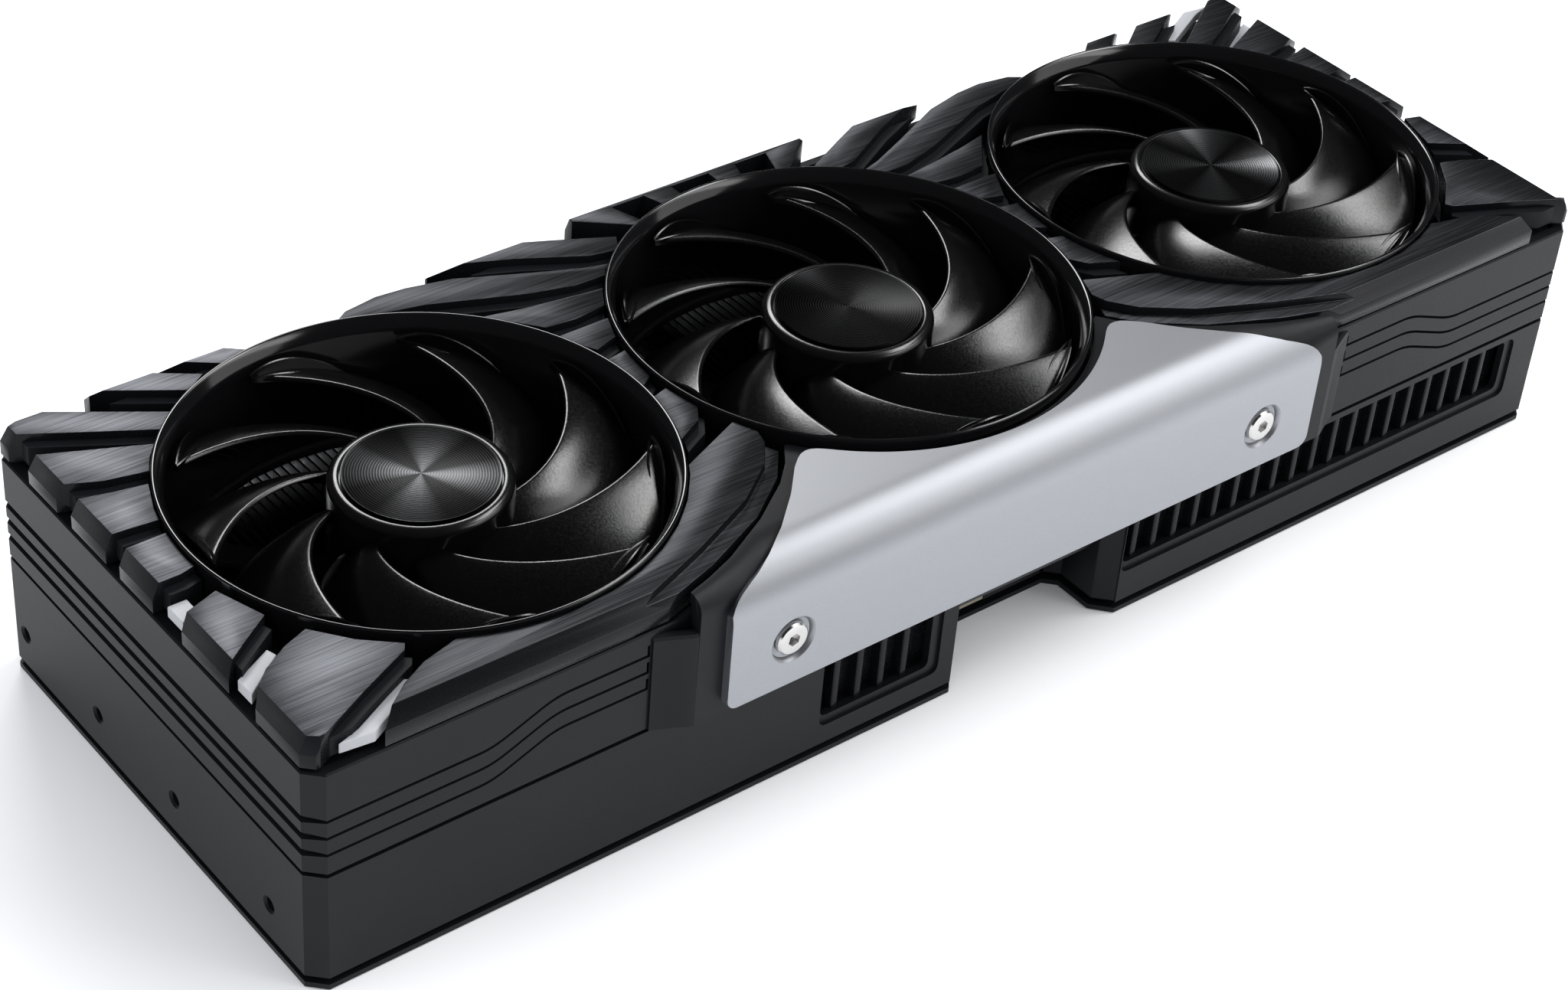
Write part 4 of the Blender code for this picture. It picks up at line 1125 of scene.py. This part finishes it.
def make_hub(number):
    """A cup with a round shoulder, and a spun disc with a raised rim set in its top."""
    centre = fan_centre(number)
    body = f"fan_{number}"
    cap_low, cap_high = node_box(f"hub_cap_{number}")
    top = cap_high.z
    under = top - 2.6
    rim = (cap_high.x - cap_low.x) / 2 - 0.1
    inner = HUB_EDGE - HUB_WALL
    shoulder = [(HUB_EDGE - 1.8 + 1.8 * math.cos(a), top - 2.3 + 1.7 * math.sin(a))
                for a in [math.radians(90 * index / 10) for index in range(11)]]
    cup = [(0.0, top - 1.2), (0.0, under), (inner, under), (inner, HUB_BOTTOM),
           (HUB_EDGE, HUB_BOTTOM)] + shoulder
    cup += [(rim + 0.35, top - 0.6), (rim + 0.2, top - 0.75), (rim + 0.15, top - 1.2)]
    piece(f"hub_cup_{number}", lathe(cup, centre, 128), HUB,
          (f"fan_rotor_{number}",), body, angle=50)
    disc = [(0.0, top - 0.3), (0.0, top - 1.1), (rim, top - 1.1), (rim, top - 0.35),
            (rim - 0.15, top - 0.1), (rim - 0.35, top - 0.1), (rim - 0.65, top - 0.3)]
    spun = spun_cap(f"spun_cap_{number}", centre, *CAP_LOOKS[number])
    piece(f"spun_disc_{number}", lathe(disc, centre, 128), spun,
          (f"hub_cap_{number}",), body, angle=50)


def make_motor(number):
    refined(f"fan_mount_{number}", MOULDED, bevel=0.2)
    refined(f"fan_bearing_{number}", STEEL, bevel=0.15, angle=40)
    refined(f"fan_stator_{number}", COPPER, bevel=0.3, angle=35)
    refined(f"fan_shaft_{number}", STEEL, f"fan_{number}", 0.15, angle=40)


# -------------------- light guides and inner parts

# each guide: how far its face lies below the diffuser's top, then its outline
LEFT_GUIDES = [
    (0.2, [(-164.8, -7.2), (-160.8, -7.2), (-160.8, -10.1), (-164.8, -12.8)]),
    (0.2, [(-164.8, -31.6), (-156.2, -27.2), (-155.5, -29.4), (-160.2, -32.9), (-164.8, -36.4)]),
    (0.2, [(-159.2, -55.6), (-154.2, -54.1), (-140.6, -47.3), (-137.8, -49.0), (-152.2, -56.4)]),
]
RIGHT_GUIDES = [
    (0.2, [(159.2, 55.6), (154.2, 54.1), (140.6, 47.3), (137.8, 49.0), (152.2, 56.4)]),
    (3.4, [(164.5, 44.0), (164.5, 47.6), (150.0, 40.2), (142.2, 36.3), (143.5, 34.8),
           (150.0, 37.8)]),
    (3.4, [(164.5, 29.6), (158.0, 27.0), (150.8, 24.9), (151.6, 23.6), (158.0, 24.9),
           (164.5, 27.2)]),
]


def make_light_guides():
    """Milky windows that show in the gaps between the trim blocks."""
    for side, guides in (("left", LEFT_GUIDES), ("right", RIGHT_GUIDES)):
        node = side + "_light_diffuser"
        low, high = node_box(node)
        bm = bmesh.new()
        for sink, outline in guides:
            add_prism(bm, outline, low.z, high.z - sink)
        piece("fine_" + node, bm, MILKY, (node,), bevel=0.2, segments=3, angle=40)


def make_board():
    """The board, cleared round the notch, with contact strips on both sides of its tongue."""
    board = copy_of("circuit_board")
    bmesh.ops.recalc_face_normals(board, faces=board.faces)
    clear = box_outline(BOARD_LOW.x - 1.0, BOARD_LOW.y - 1.0, NOTCH_WALL[0][0] + 4.0, NOTCH_BACK)
    board = combine(board, prism(clear, BOARD_LOW.z - 1.0, BOARD_HIGH.z + 1.0))
    piece("fine_circuit_board", board, MASK, ("circuit_board",), bevel=0.08)
    contacts = bmesh.new()
    left, right = TONGUE
    count = int((right - left) / CONTACT_PITCH)
    for index in range(count):
        x = left + CONTACT_PITCH * (index + 0.5)
        if abs(x - KEY_X) < KEY_CLEAR or x < left + FIRST_CONTACT:
            continue
        strip = box_outline(x - 0.35, BOARD_HIGH.y - 6.2, x + 0.35, BOARD_HIGH.y - 1.6)
        strip = rounded(strip, 0.2, 2)
        add_prism(contacts, strip, BOARD_HIGH.z - 0.05, BOARD_HIGH.z + 0.04)
        add_prism(contacts, strip, BOARD_LOW.z - 0.04, BOARD_LOW.z + 0.05)
    piece("edge_contacts", contacts, GOLD)


def make_pins():
    """Square pins inside the power connector's sockets."""
    low, high = node_box("power_connector")
    bm = bmesh.new()
    for row in range(2):
        for column in range(6):
            x = low.x + 2.25 + column * 3.0
            z = low.z + 2.8 + row * 3.6
            pin = rounded(box_outline(x - 0.5, z - 0.5, x + 0.5, z + 0.5), 0.2, 2)
            add_prism(bm, pin, low.y + 1.6, high.y - 0.8, "Y")
    piece("connector_pins", bm, GOLD)


def make_notch_wall():
    """The faceted wall that closes the frame on the right of the connector notch."""
    bm = bmesh.new()
    offset = 1.6
    behind = [(x + offset, y + offset) for x, y in reversed(NOTCH_WALL)]
    add_prism(bm, NOTCH_WALL + behind, FRAME_LOW.z, FRAME_HIGH.z - 0.3)
    piece("notch_wall", bm, SATIN, ("lower_frame",), bevel=0.25, angle=8)


def make_inner_parts():
    refined("backplate", SATIN, bevel=0.0)
    make_board()
    refined("graphics_package", MASK, bevel=0.15)
    for number in range(1, 5):
        refined(f"memory_chip_{number}", MOULDED, bevel=0.15)
    refined("vapour_chamber", COPPER, bevel=0.4)
    for number in range(1, 6):
        refined(f"heat_pipe_{number}", COPPER, bevel=0.8, segments=4)
    for node in ("rear_fin_stack", "front_fin_stack"):
        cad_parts[node].data.materials.clear()
        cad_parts[node].data.materials.append(FIN)
    refined("power_connector", MOULDED, bevel=0.0)
    make_pins()
    refined("io_bracket", SHEET, bevel=0.0)
    for node in [f"display_port_{number}" for number in (1, 2, 3)] + ["media_port"]:
        refined(node, STEEL, bevel=0.0)


# -------------------- stage

EYE = (-0.38211, -0.41734, 0.43599)
EYE_TURN = (52.758, -4.071, -38.408)
LENS = 74.958
FLOOR_LEVEL = -0.0003
FLOOR_REACH = 6.0


def make_camera():
    data = bpy.data.cameras.new("camera")
    data.lens = LENS
    data.sensor_width = 36.0
    data.clip_start = 0.01
    data.clip_end = 50.0
    camera = new_object("camera", data)
    camera.location = EYE
    camera.rotation_euler = [math.radians(value) for value in EYE_TURN]
    bpy.context.scene.camera = camera


def add_softbox(name, azimuth, elevation, distance, size, power, target=(0.0, 0.0, 0.04)):
    """A rectangular lamp in a direction from the card, facing it; azimuth is from +X."""
    a, e = math.radians(azimuth), math.radians(elevation)
    away = Vector((math.cos(a) * math.cos(e), math.sin(a) * math.cos(e), math.sin(e)))
    data = bpy.data.lights.new(name, "AREA")
    data.shape = "RECTANGLE"
    data.size, data.size_y = size
    data.energy = power
    lamp = new_object(name, data)
    lamp.location = Vector(target) + away * distance
    lamp.rotation_euler = away.to_track_quat("Z", "Y").to_euler()


def make_lights():
    """Softboxes where the card's highlights mirror them; the room is dark in reflections only."""
    add_softbox("key_softbox", -10.0, 54.0, 1.3, (0.8, 0.34), 7.5)
    add_softbox("deck_softbox", 67.0, 40.0, 1.3, (0.5, 0.36), 6.2)
    add_softbox("front_fill", -44.0, 27.0, 1.5, (1.0, 1.45), 5.6)
    add_softbox("edge_strip", -42.0, 36.0, 1.4, (1.2, 0.26), 2.6)
    world = bpy.data.worlds.new("studio")
    world.use_nodes = True
    nodes = world.node_tree.nodes
    background = nodes["Background"]
    background.inputs["Color"].default_value = (0.95, 0.97, 1.0, 1.0)
    path = nodes.new("ShaderNodeLightPath")
    strength = nodes.new("ShaderNodeMapRange")
    strength.inputs["To Min"].default_value = 1.2
    strength.inputs["To Max"].default_value = 0.03
    world.node_tree.links.new(path.outputs["Is Glossy Ray"], strength.inputs["Value"])
    world.node_tree.links.new(strength.outputs["Result"], background.inputs["Strength"])
    bpy.context.scene.world = world


def make_floor():
    """White ground just below the card and far wider than the picture, in metres."""
    bm = bmesh.new()
    plan = box_outline(-FLOOR_REACH, -FLOOR_REACH, FLOOR_REACH, FLOOR_REACH)
    bm.faces.new([bm.verts.new((x, y, FLOOR_LEVEL)) for x, y in plan])
    mesh = new_mesh("floor", bm)
    paint = Paint("floor_paint", (0.9, 0.9, 0.905), specular=0.1, roughness=0.8)
    paint.shade(paint.noise(1.5), 0.99, 1.01)
    mesh.materials.append(paint.material)
    new_object("floor", mesh)


def main():
    make_band()
    make_lower_frame()
    make_parting_lip()
    make_ribs()
    make_notch_wall()
    make_trim()
    make_bezel()
    make_plate()
    make_plate_screws()
    for number in FANS:
        make_ring(number)
        make_blades(number)
        make_hub(number)
        make_motor(number)
    make_light_guides()
    make_inner_parts()
    make_floor()
    make_lights()
    make_camera()
    bpy.context.scene.view_settings.view_transform = "Standard"


main()
